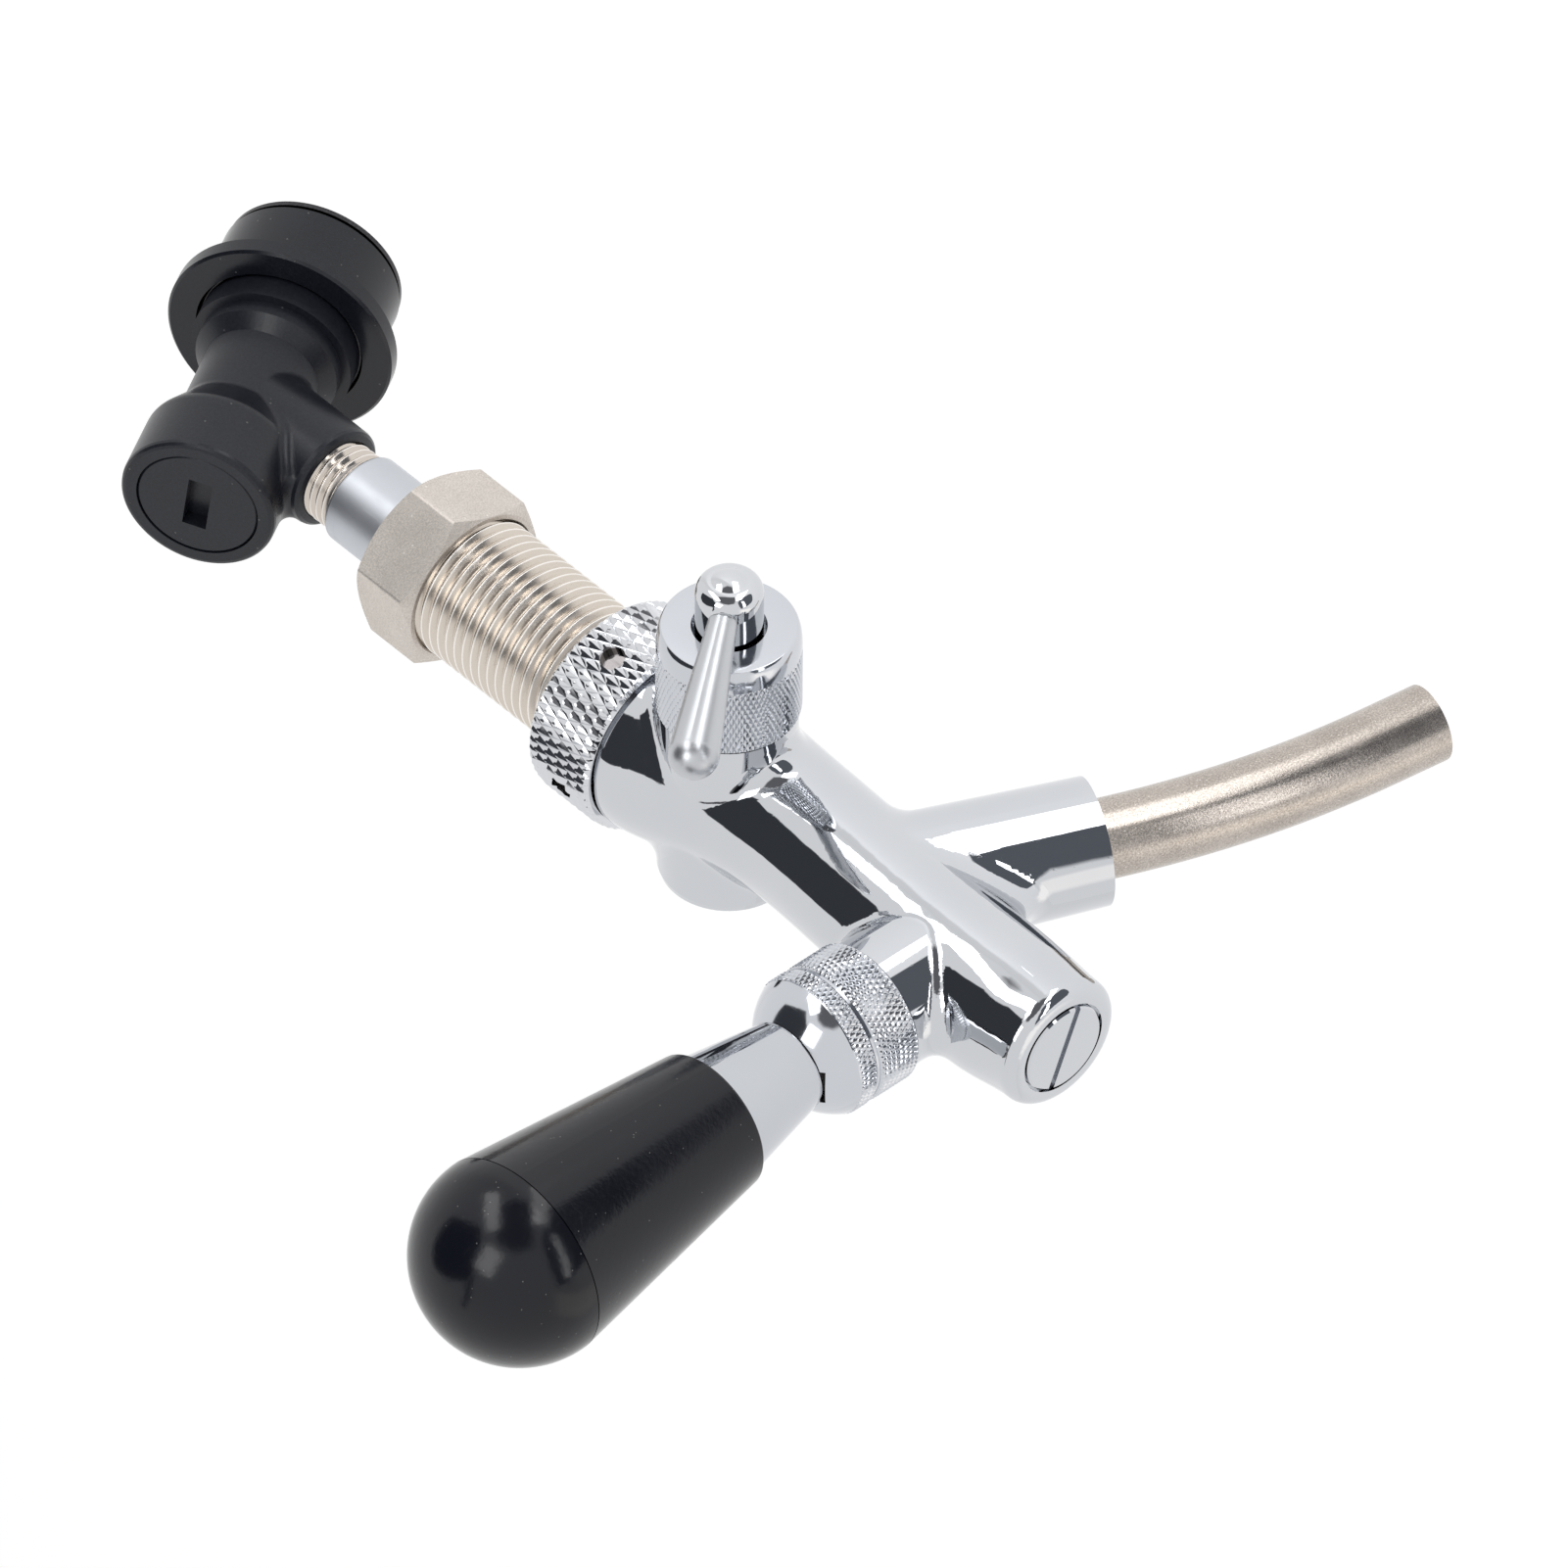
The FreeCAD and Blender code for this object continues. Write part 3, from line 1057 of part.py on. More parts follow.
def locking_ball(index):
    centre = point_on(DISCONNECT_BASE, DISCONNECT_DIR, LOCK_BALL_S)
    return Part.makeSphere(LOCK_BALL_R, centre + ball_direction(index) * LOCK_BALL_CENTRE_R)


def poppet():
    """Sprung valve pin; its nose is pushed in by the keg post."""
    guide_start = POPPET_HEAD_S - POPPET_GUIDE_L
    return turned(DISCONNECT_BASE, DISCONNECT_DIR, (
        (guide_start, 0), (guide_start, POPPET_GUIDE_R), (POPPET_HEAD_S, POPPET_GUIDE_R),
        (POPPET_HEAD_S, POPPET_R), (POPPET_WAIST_S, POPPET_R), (POPPET_WAIST_S, POPPET_WAIST_R),
        (POPPET_LIP_S, POPPET_WAIST_R), (POPPET_LIP_S, POPPET_LIP_R),
        (POPPET_SEAT_S, POPPET_NOSE_R), (POPPET_NOSE_S - POPPET_TIP, POPPET_NOSE_R),
        (POPPET_NOSE_S, POPPET_NOSE_R - POPPET_TIP), (POPPET_NOSE_S, 0)))


def poppet_seal():
    slack = (POPPET_LIP_S - POPPET_WAIST_S - POPPET_SEAL_T) / 2
    start = POPPET_WAIST_S + slack
    return pipe(DISCONNECT_BASE, DISCONNECT_DIR, start, start + POPPET_SEAL_T, POPPET_SEAL_R,
                POPPET_WAIST_R + SNUG_GAP)


def poppet_spring():
    return coil_spring(DISCONNECT_BASE, DISCONNECT_DIR, CAP_DEPTH + SPRING_END_GAP,
                       POPPET_HEAD_S - SPRING_END_GAP,
                       POPPET_SPRING_R, SPRING_WIRE, POPPET_SPRING_COILS)


PIECES = {
    "faucet_body": faucet_body,
    "front_plug": front_plug,
    "plug_o_ring": plug_o_ring,
    "coupling_collar": coupling_collar,
    "shank": shank,
    "shank_washer": shank_washer,
    "shank_nut": shank_nut,
    "adapter_sleeve": adapter_sleeve,
    "adapter_stem": adapter_stem,
    "stem_seal": stem_seal,
    "valve_shaft": valve_shaft,
    "valve_seal": valve_seal,
    "shaft_nut": shaft_nut,
    "shaft_guide": shaft_guide,
    "guide_o_ring": guide_o_ring,
    "lock_ring": lock_ring,
    "handle_bonnet": handle_bonnet,
    "ball_washer": ball_washer,
    "ball_seat": ball_seat,
    "lever": lever,
    "handle_ferrule": handle_ferrule,
    "handle_grip": handle_grip,
    "grip_cap": grip_cap,
    "grip_insert": grip_insert,
    "spout_tube": spout_tube,
    "spout_o_rings": spout_o_rings,
    "control_cap": control_cap,
    "control_stem": control_stem,
    "control_o_rings": control_o_rings,
    "control_lever": control_lever,
    "compensator_cone": compensator_cone,
    "disconnect_body": disconnect_body,
    "disconnect_cap": disconnect_cap,
    "cap_o_ring": cap_o_ring,
    "locking_collar": locking_collar,
    "collar_spring": collar_spring,
    "snap_ring": snap_ring,
    "locking_ball_a": lambda: locking_ball(0),
    "locking_ball_b": lambda: locking_ball(1),
    "locking_ball_c": lambda: locking_ball(2),
    "poppet": poppet,
    "poppet_seal": poppet_seal,
    "poppet_spring": poppet_spring,
}

os.makedirs("parts", exist_ok=True)
for name, make in PIECES.items():
    make().exportStep("parts/" + name + ".step")
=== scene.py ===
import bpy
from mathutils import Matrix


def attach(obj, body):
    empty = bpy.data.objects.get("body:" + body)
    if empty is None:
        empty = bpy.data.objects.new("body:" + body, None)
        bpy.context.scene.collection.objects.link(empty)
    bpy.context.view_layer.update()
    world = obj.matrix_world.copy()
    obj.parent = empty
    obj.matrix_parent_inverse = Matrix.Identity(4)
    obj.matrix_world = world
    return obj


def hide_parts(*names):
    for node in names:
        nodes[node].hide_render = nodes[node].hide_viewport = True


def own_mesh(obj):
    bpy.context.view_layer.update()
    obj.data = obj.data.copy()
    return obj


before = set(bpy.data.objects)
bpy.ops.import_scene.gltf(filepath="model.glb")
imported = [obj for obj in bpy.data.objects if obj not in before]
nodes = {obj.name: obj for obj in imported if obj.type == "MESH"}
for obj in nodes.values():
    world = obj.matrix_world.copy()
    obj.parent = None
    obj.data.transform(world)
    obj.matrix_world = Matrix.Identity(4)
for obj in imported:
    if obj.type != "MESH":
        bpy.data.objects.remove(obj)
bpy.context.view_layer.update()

import math

import bmesh
import bpy
import numpy as np
from mathutils import Matrix


# Faucet body
# One brass casting: a waisted barrel with four round bosses that flow into it, and a slotted plug screwed
# into its front. Both are polished and chromium plated, so they mirror the room almost without blur.

STREAK_LAYS = (((0.5, 0.35, 0.3), (2600.0, 90.0, 900.0)), ((2.1, 1.47, 0.3), (120.0, 2400.0, 700.0)))
STREAK_LOW = 0.64
STREAK_HIGH = 0.74
DRIFT_SCALE = 70.0
HAZE_SCALE = 260.0
HAZE_LOW = 0.35
HAZE_HIGH = 0.75
SWELL_SCALE = 95.0
SWELL_HEIGHT = 0.0002
HAIRLINE_RELIEF = 0.25
HAIRLINE_DEPTH = 0.00002
HAIRLINE_BLUR = 0.22


def shader_group(name, inputs, outputs):
    """Empty shader node group with named value sockets. Each input comes with its starting value."""
    group = bpy.data.node_groups.new(name, "ShaderNodeTree")
    for label, start in inputs:
        socket = group.interface.new_socket(label, in_out="INPUT", socket_type="NodeSocketFloat")
        socket.default_value = start
    for label in outputs:
        group.interface.new_socket(label, in_out="OUTPUT", socket_type="NodeSocketFloat")
    return group, group.nodes.new("NodeGroupInput"), group.nodes.new("NodeGroupOutput")


def feed(tree, value, socket):
    """Give a socket its value: another node's output, a colour of three parts, or a number."""
    if isinstance(value, bpy.types.NodeSocket):
        tree.links.new(value, socket)
    elif isinstance(value, tuple):
        socket.default_value = (*value, 1.0)
    else:
        socket.default_value = value


def calculated(tree, operation, *terms):
    """Result of a Math node on up to three terms, each a number or another node's output."""
    node = tree.nodes.new("ShaderNodeMath")
    node.operation = operation
    for term, socket in zip(terms, node.inputs):
        feed(tree, term, socket)
    return node.outputs["Value"]


def ramped(tree, value, low, high, first=0.0, last=1.0):
    """Number that goes evenly from the first to the last as the value goes from low to high."""
    node = tree.nodes.new("ShaderNodeMapRange")
    for label, level in (("From Min", low), ("From Max", high), ("To Min", first), ("To Max", last)):
        node.inputs[label].default_value = level
    feed(tree, value, node.inputs["Value"])
    return node.outputs["Result"]


def noise(tree, place, scale, detail, roughness=0.5):
    """Soft noise round one half, of so many waves to the metre; detail and roughness add finer ones."""
    node = tree.nodes.new("ShaderNodeTexNoise")
    node.inputs["Detail"].default_value = detail
    node.inputs["Roughness"].default_value = roughness
    feed(tree, place, node.inputs["Vector"])
    feed(tree, scale, node.inputs["Scale"])
    return node.outputs["Fac"]


def polish_marks_group():
    """Hairlines left by buffing and wiping: long thin noise streaks laid in two directions, each given by
    its turn and its stretch. Puts out a mask of the marks and a height for the relief."""
    group, start, end = shader_group("polish_marks", (("Scale", 1.0), ("Amount", 0.5)), ("Mask", "Height"))
    place = group.nodes.new("ShaderNodeTexCoord").outputs["Object"]
    streaks = []
    for turn, stretch in STREAK_LAYS:
        lay = group.nodes.new("ShaderNodeMapping")
        lay.inputs["Rotation"].default_value = turn
        lay.inputs["Scale"].default_value = stretch
        feed(group, place, lay.inputs["Vector"])
        size = group.nodes.new("ShaderNodeVectorMath")
        size.operation = "SCALE"
        feed(group, lay.outputs["Vector"], size.inputs[0])
        feed(group, start.outputs["Scale"], size.inputs["Scale"])
        waves = noise(group, size.outputs["Vector"], 1.0, detail=2.0)
        streaks.append(ramped(group, waves, STREAK_LOW, STREAK_HIGH))
    marks = calculated(group, "MULTIPLY", calculated(group, "MAXIMUM", *streaks), start.outputs["Amount"])
    feed(group, marks, end.inputs["Mask"])
    feed(group, calculated(group, "MULTIPLY", marks, -1.0), end.inputs["Height"])
    return group


polish_marks = polish_marks_group()


def new_finish(name):
    """Material, with its node tree and its shader."""
    material = bpy.data.materials.new(name)
    material.use_nodes = True
    return material, material.node_tree, material.node_tree.nodes["Principled BSDF"]


def effect(tree, group, values):
    """Outputs of a node group placed in a material with its own values."""
    node = tree.nodes.new("ShaderNodeGroup")
    node.node_tree = group
    for label, value in values.items():
        node.inputs[label].default_value = value
    return node.outputs


def mixed(tree, share, first, second):
    """Colour that goes from the first to the second as the share goes from 0 to 1."""
    node = tree.nodes.new("ShaderNodeMix")
    node.data_type = "RGBA"
    for value, index in ((share, 0), (first, 6), (second, 7)):
        feed(tree, value, node.inputs[index])
    return node.outputs[2]


def bent(tree, height, strength, depth, under=None):
    """Normal bent by a height, on top of another bent normal if one is given."""
    node = tree.nodes.new("ShaderNodeBump")
    node.inputs["Strength"].default_value = strength
    node.inputs["Distance"].default_value = depth
    feed(tree, height, node.inputs["Height"])
    if under is not None:
        feed(tree, under, node.inputs["Normal"])
    return node.outputs["Normal"]


def plated_metal(name, colour, haze, sheen, marks, blur, wave):
    """Plated mirror metal. Its colour drifts a little towards a second tint, haze and hairlines blur it,
    and a slow wave in the plating bends what it mirrors."""
    material, tree, shader = new_finish(name)
    shader.inputs["Metallic"].default_value = 1.0
    place = tree.nodes.new("ShaderNodeTexCoord").outputs["Object"]
    tint = mixed(tree, noise(tree, place, DRIFT_SCALE, detail=4.0), colour, haze)
    feed(tree, tint, shader.inputs["Base Color"])
    lines = effect(tree, polish_marks, {"Scale": 1.0, "Amount": marks})
    cloud = noise(tree, place, HAZE_SCALE, detail=5.0)
    hazed = ramped(tree, cloud, HAZE_LOW, HAZE_HIGH, sheen, sheen + blur)
    scuffed = calculated(tree, "MULTIPLY_ADD", lines["Mask"], HAIRLINE_BLUR, hazed)
    feed(tree, scuffed, shader.inputs["Roughness"])
    swell = bent(tree, noise(tree, place, SWELL_SCALE, detail=1.0), wave, SWELL_HEIGHT)
    scored = bent(tree, lines["Height"], HAIRLINE_RELIEF, HAIRLINE_DEPTH, swell)
    feed(tree, scored, shader.inputs["Normal"])
    return material


def dress(material, *names):
    """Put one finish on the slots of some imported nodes."""
    for name in names:
        for slot in nodes[name].material_slots:
            slot.material = material


body_chrome = plated_metal("body_chrome", colour=(0.560, 0.577, 0.607), haze=(0.605, 0.618, 0.642),
                           sheen=0.02, marks=0.16, blur=0.03, wave=0.05)
dress(body_chrome, "faucet_body", "front_plug")


# Coupling collar
# Hand-tightened union nut with a coarse diamond knurl and four blind holes for a spanner.
# Turned brass, rolled, drilled, then chromium plated; the pyramids flash one facet at a time.

COLLAR_R = 0.0164
COLLAR_FRONT_Y = -0.013
COLLAR_CHAMFER = 0.0008
COLLAR_WALL_Y = -0.0034
COLLAR_THREAD_R = 0.01425
COLLAR_BORE_R = 0.011555
COLLAR_STARTS = 57
COLLAR_LEAD = 0.00433
COLLAR_RELIEF = 0.00050
COLLAR_FLAT = 0.12
COLLAR_STEPS = 4
COLLAR_HOLES = 4
COLLAR_HOLE_R = 0.0020
COLLAR_HOLE_DEPTH = 0.0017
COLLAR_HOLE_Y = -0.0065
COLLAR_FIRST_HOLE = 18.5
HOLE_MARGIN = 0.0002
# colour of the painted shade inside the collar's holes
HOLE_PAINTED_SHADE = (0.16, 0.15, 0.15)
BIT_OVERRUN = 0.001
BIT_SIDES = 40
KNURL_CORNER = 24
MERGE_GAP = 2e-7
THINNEST_EDGE = 1e-8
ROUNDING = 1e-6


def round_skin(name, origin, axis, across, turns, along, radius, crossing, corner):
    """Closed skin round an axis. Column i stands at angle turns[i], row j of it at distance along[i, j]
    from the origin and radius[i, j] from the axis; the rows close on themselves and the last column is the
    first again, so doubles are merged. Where crossing is true a cell is parted along its other diagonal.
    Edges sharper than corner degrees stay crisp."""
    axis, across = np.array(axis, float), np.array(across, float)
    side = np.cross(axis, across)
    ring = np.cos(turns)[:, None] * across + np.sin(turns)[:, None] * side
    points = np.array(origin) + along[..., None] * axis + radius[..., None] * ring[:, None, :]
    columns, rows = along.shape
    index = np.arange(columns * rows).reshape(columns, rows)
    a = index[:-1, :]
    b = index[1:, :]
    c, d = np.roll(b, -1, axis=1), np.roll(a, -1, axis=1)
    one = np.stack((a, b, c, a, c, d), axis=-1)
    other = np.stack((a, b, d, b, c, d), axis=-1)
    cells = np.where(crossing[..., None], other, one).reshape(-1, 3)
    mesh = bpy.data.meshes.new(name)
    mesh.from_pydata(points.reshape(-1, 3), [], cells.tolist())
    form = bmesh.new()
    form.from_mesh(mesh)
    bmesh.ops.remove_doubles(form, verts=form.verts, dist=MERGE_GAP)
    bmesh.ops.dissolve_degenerate(form, edges=form.edges, dist=THINNEST_EDGE)
    bmesh.ops.recalc_face_normals(form, faces=form.faces)
    form.to_mesh(mesh)
    form.free()
    mesh.shade_smooth()
    mesh.set_sharp_from_angle(angle=math.radians(corner))
    piece = bpy.data.objects.new(name, mesh)
    bpy.context.scene.collection.objects.link(piece)
    return piece


def even_rows(section, columns):
    """Rows that are alike in every column, for a part of a section given as (distance, radius) points."""
    return np.tile([s for s, r in section], (columns, 1)), np.tile([r for s, r in section], (columns, 1))


def knurled_ring(name, origin, axis, across, radius, start, end, starts, lead, relief, flat, steps,
                 bevels, inner):
    """Ring with a diamond knurl. Two families of grooves climb the cylinder, one each way: with a the
    turn times the number of starts and b the distance over the lead, they lie where a + b and a - b are
    whole numbers, and the skin rises evenly from the nearer groove to a small flat top. The bevels cut it
    off at each end, and inner lists the rest of the section as (distance, radius) from the end back."""
    turns = np.linspace(0.0, 2 * math.pi, 2 * steps * starts + 1)
    count = max(2, round((end - start) / lead * 2 * steps))
    reach = start + (end - start) * np.arange(count + 1) / count
    a = turns[:, None] * starts / (2 * math.pi)
    b = (reach[None, :] - start) / lead
    rise = np.minimum(1 - np.abs(2 * ((a + b) % 1.0) - 1), 1 - np.abs(2 * ((a - b) % 1.0) - 1))
    knurl = radius - relief * (1 - np.minimum(rise / (1 - flat), 1.0))
    knurl = np.minimum(knurl, radius - bevels[0] + (reach[None, :] - start))
    knurl = np.minimum(knurl, radius - bevels[1] + (end - reach[None, :]))
    rest_along, rest_radius = even_rows(inner, len(turns))
    along = np.concatenate((np.tile(reach, (len(turns), 1)), rest_along), axis=1)
    radii = np.concatenate((knurl, rest_radius), axis=1)
    cell_a = np.floor(a[:-1] + a[1:])
    cell_b = np.floor((np.append(b[0], np.zeros(len(inner)))[None, :] + ROUNDING) * 2)
    crossing = (cell_a + cell_b) % 2 == 1
    return round_skin(name, origin, axis, across, turns, along, radii, crossing, KNURL_CORNER)


def drill(piece, holes, radius, depth, overrun):
    """Cut round blind holes into a finished piece; each hole is given by its mouth and its direction. A bit
    is a prism whose corners stand at even turns on a circle round that direction."""
    form = bmesh.new()
    spin = np.linspace(0, 2 * math.pi, BIT_SIDES, endpoint=False)
    for mouth, direction in holes:
        direction = np.array(direction, float)
        across = np.cross(direction, (0, 1, 0))
        side = np.cross(direction, across)
        rim = radius * (np.cos(spin)[:, None] * across + np.sin(spin)[:, None] * side)
        tip = [form.verts.new(p) for p in np.array(mouth) - depth * direction + rim]
        top = [form.verts.new(p) for p in np.array(mouth) + overrun * direction + rim]
        form.faces.new(tip)
        form.faces.new(top)
        for i in range(BIT_SIDES):
            form.faces.new((tip[i], tip[i - 1], top[i - 1], top[i]))
    bmesh.ops.recalc_face_normals(form, faces=form.faces)
    mesh = bpy.data.meshes.new("drill_bits")
    form.to_mesh(mesh)
    form.free()
    bits = bpy.data.objects.new("drill_bits", mesh)
    bpy.context.scene.collection.objects.link(bits)
    cut = piece.modifiers.new("holes", "BOOLEAN")
    cut.operation = "DIFFERENCE"
    cut.solver = "EXACT"
    cut.object = bits
    bpy.context.view_layer.update()
    drilled = bpy.data.meshes.new_from_object(piece.evaluated_get(bpy.context.evaluated_depsgraph_get()))
    piece.modifiers.clear()
    piece.data = drilled
    bpy.data.objects.remove(bits)


collar = knurled_ring(
    "knurled_collar", (0, 0, 0), (0, 1, 0), (1, 0, 0), COLLAR_R, COLLAR_FRONT_Y, 0.0,
    COLLAR_STARTS, COLLAR_LEAD, COLLAR_RELIEF, COLLAR_FLAT, COLLAR_STEPS, (COLLAR_CHAMFER, COLLAR_CHAMFER),
    [(0.0, COLLAR_BORE_R), (COLLAR_WALL_Y, COLLAR_BORE_R), (COLLAR_WALL_Y, COLLAR_THREAD_R),
     (COLLAR_FRONT_Y, COLLAR_THREAD_R)])
hole_turns = [math.radians(COLLAR_FIRST_HOLE + 360 * i / COLLAR_HOLES) for i in range(COLLAR_HOLES)]
hole_ways = [(math.cos(turn), math.sin(turn)) for turn in hole_turns]
drill(collar, [((COLLAR_R * x, COLLAR_HOLE_Y, COLLAR_R * z), (x, 0, z)) for x, z in hole_ways],
      COLLAR_HOLE_R, COLLAR_HOLE_DEPTH, BIT_OVERRUN)


def axis_group():
    """Where a point lies on the tap: its distance from the long axis, sqrt(x^2 + z^2), and y along it."""
    group, _, end = shader_group("tap_axis", (), ("Radius", "Along"))
    place = group.nodes.new("ShaderNodeTexCoord").outputs["Object"]
    flat = group.nodes.new("ShaderNodeVectorMath")
    flat.operation = "MULTIPLY"
    flat.inputs[1].default_value = (1.0, 0.0, 1.0)
    feed(group, place, flat.inputs[0])
    size = group.nodes.new("ShaderNodeVectorMath")
    size.operation = "LENGTH"
    feed(group, flat.outputs["Vector"], size.inputs[0])
    feed(group, size.outputs["Value"], end.inputs["Radius"])
    split = group.nodes.new("ShaderNodeSeparateXYZ")
    feed(group, place, split.inputs["Vector"])
    feed(group, split.outputs["Y"], end.inputs["Along"])
    return group


tap_axis = axis_group()


def recolour(material, mask, colour):
    """Lay a second colour over a material's own where the mask is 1."""
    tree = material.node_tree
    base = tree.nodes["Principled BSDF"].inputs["Base Color"]
    feed(tree, mixed(tree, mask, base.links[0].from_socket, colour), base)


def painted_shade_in_holes(material):
    """Paint shade into the collar's holes: darken the points further in than the roots of the knurl and no
    further along than a hole's radius, each with a margin."""
    tree = material.node_tree
    spot = effect(tree, tap_axis, {})
    sunk = calculated(tree, "LESS_THAN", spot["Radius"], COLLAR_R - COLLAR_RELIEF - HOLE_MARGIN)
    beside = calculated(tree, "COMPARE", spot["Along"], COLLAR_HOLE_Y, COLLAR_HOLE_R + HOLE_MARGIN)
    recolour(material, calculated(tree, "MULTIPLY", sunk, beside), HOLE_PAINTED_SHADE)


collar_chrome = plated_metal("collar_chrome", colour=(0.62, 0.63, 0.66), haze=(0.68, 0.69, 0.71),
                             sheen=0.06, marks=0.25, blur=0.06, wave=0.10)
# painted shade: the spanner holes are darkened in the collar's colour
painted_shade_in_holes(collar_chrome)
collar.data.materials.append(collar_chrome)
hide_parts("coupling_collar")
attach(collar, "tap")


# Shank
# Long threaded tube that passes through the wall of the cooler, with a flange that the collar holds.
# Cut from bar, 14 threads to the inch, and nickel plated: warm, glossy, with bright crests that are partly
# rubbed plating and partly a painted highlight.

SHANK_R = 0.011455
SHANK_PITCH = 0.001814
SHANK_DEPTH = 0.00105
SHANK_START_Y = -0.0035
SHANK_END_Y = 0.041
SHANK_CHAMFER = 0.0008
FLANGE_R = 0.0136
FLANGE_FRONT_Y = -0.0059
SHANK_BORE_R = 0.0055
SHANK_COUNTERBORE_R = 0.0074
SHANK_COUNTERBORE_Y = 0.0239
SHANK_COLUMNS = 80
SHANK_RUB_AND_HIGHLIGHT = 0.00018
CREST_ROUND = 0.06
ROOT_FLAT = 0.12
THREAD_STEPS = 24
THREAD_CORNER = 66


def threaded_bar(name, start, end, pitch, crest, depth, chamfer, columns, before, after):
    """Bar with a screw thread, on the tap's long axis. Each column starts a little further along, one pitch
    per turn, so the grid lines follow the thread; rows past an end are held at it. With s the share of half
    a pitch from the crest and c the crest's rounding, the radius falls by the depth times
    sqrt(s^2 + c^2) - c, a straight flank with a narrow round crest, down to a small flat root. The chamfer
    limits it at both ends; before and after list the rest of the section as (distance, radius)."""
    turns = np.linspace(0.0, 2 * math.pi, columns + 1)
    count = int(math.ceil((end - start) / pitch + 1)) * THREAD_STEPS
    phase = np.arange(count + 1) / THREAD_STEPS
    free = start + pitch * (phase[None, :] - 1 + turns[:, None] / (2 * math.pi))
    along = np.clip(free, start, end)
    part = ((along - start) / pitch - turns[:, None] / (2 * math.pi)) % 1.0
    s = 1 - np.abs(2 * part - 1)
    radius = crest - depth * np.minimum(np.hypot(s, CREST_ROUND) - CREST_ROUND, 1 - ROOT_FLAT)
    radius = np.minimum(radius, crest - chamfer + (along - start))
    radius = np.minimum(radius, crest - chamfer + (end - along))
    first_along, first_radius = even_rows(before, len(turns))
    last_along, last_radius = even_rows(after, len(turns))
    along = np.concatenate((first_along, along, last_along), axis=1)
    radius = np.concatenate((first_radius, radius, last_radius), axis=1)
    crossing = np.zeros((columns, along.shape[1]), bool)
    return round_skin(name, (0, 0, 0), (0, 1, 0), (1, 0, 0), turns, along, radius, crossing, THREAD_CORNER)


shank = threaded_bar(
    "threaded_shank", SHANK_START_Y, SHANK_END_Y, SHANK_PITCH, SHANK_R, SHANK_DEPTH, SHANK_CHAMFER,
    SHANK_COLUMNS,
    [(FLANGE_FRONT_Y, SHANK_BORE_R), (FLANGE_FRONT_Y, FLANGE_R), (SHANK_START_Y, FLANGE_R)],
    [(SHANK_END_Y, SHANK_COUNTERBORE_R), (SHANK_COUNTERBORE_Y, SHANK_COUNTERBORE_R),
     (SHANK_COUNTERBORE_Y, SHANK_BORE_R)])


def rubbed_and_highlit_crests(material, crest, band, colour):
    """Let a thread shine whiter over the outermost band of its radius: partly rubbed plating, partly a
    painted highlight on the crests.
    """
    tree = material.node_tree
    spot = effect(tree, tap_axis, {})
    recolour(material, ramped(tree, spot["Radius"], crest - band, crest), colour)


shank_nickel = plated_metal("shank_nickel", colour=(0.60, 0.535, 0.465), haze=(0.68, 0.62, 0.555),
                            sheen=0.22, marks=0.35, blur=0.04, wave=0.10)
# painted highlight: the crests get a near-white colour, partly for rubbed plating
rubbed_and_highlit_crests(shank_nickel, SHANK_R, band=SHANK_RUB_AND_HIGHLIGHT, colour=(0.97, 0.95, 0.92))
shank.data.materials.append(shank_nickel)
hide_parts("shank")
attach(shank, "tap")


# Shank nut
# Hexagon nut that clamps the shank to the wall, its front corners turned off.
# Nickel plated over a blasted surface, so it is matt, warm and finely grained, a little brighter in spots.

SPECK_SIZE = 0.16
GRAIN_SHARE = 0.8
GRAIN_LOW = 0.36
GRAIN_HIGH = 0.64
CLOUD_LOW = 0.3
CLOUD_HIGH = 0.7
MOULDED_IOR = 1.40


def grain_group():
    """Fine even grain, as blasting or a spark-eroded mould leaves. Puts out the grain, a slower cloud, and
    sparse specks as a mask: the middles of those noise cells whose own random number is low enough."""
    group, start, end = shader_group(
        "fine_grain", (("Scale", 3000.0), ("Cloud Scale", 120.0), ("Speck Scale", 900.0), ("Specks", 0.5)),
        ("Grain", "Cloud", "Speck"))
    place = group.nodes.new("ShaderNodeTexCoord").outputs["Object"]
    feed(group, noise(group, place, start.outputs["Scale"], detail=3.0, roughness=0.65), end.inputs["Grain"])
    feed(group, noise(group, place, start.outputs["Cloud Scale"], detail=5.0), end.inputs["Cloud"])
    cells = group.nodes.new("ShaderNodeTexVoronoi")
    feed(group, place, cells.inputs["Vector"])
    feed(group, start.outputs["Speck Scale"], cells.inputs["Scale"])
    near = calculated(group, "LESS_THAN", cells.outputs["Distance"], SPECK_SIZE)
    split = group.nodes.new("ShaderNodeSeparateColor")
    feed(group, cells.outputs["Color"], split.inputs["Color"])
    rare = calculated(group, "LESS_THAN", split.outputs["Red"], start.outputs["Specks"])
    feed(group, calculated(group, "MULTIPLY", near, rare), end.inputs["Speck"])
    return group


fine_grain = grain_group()


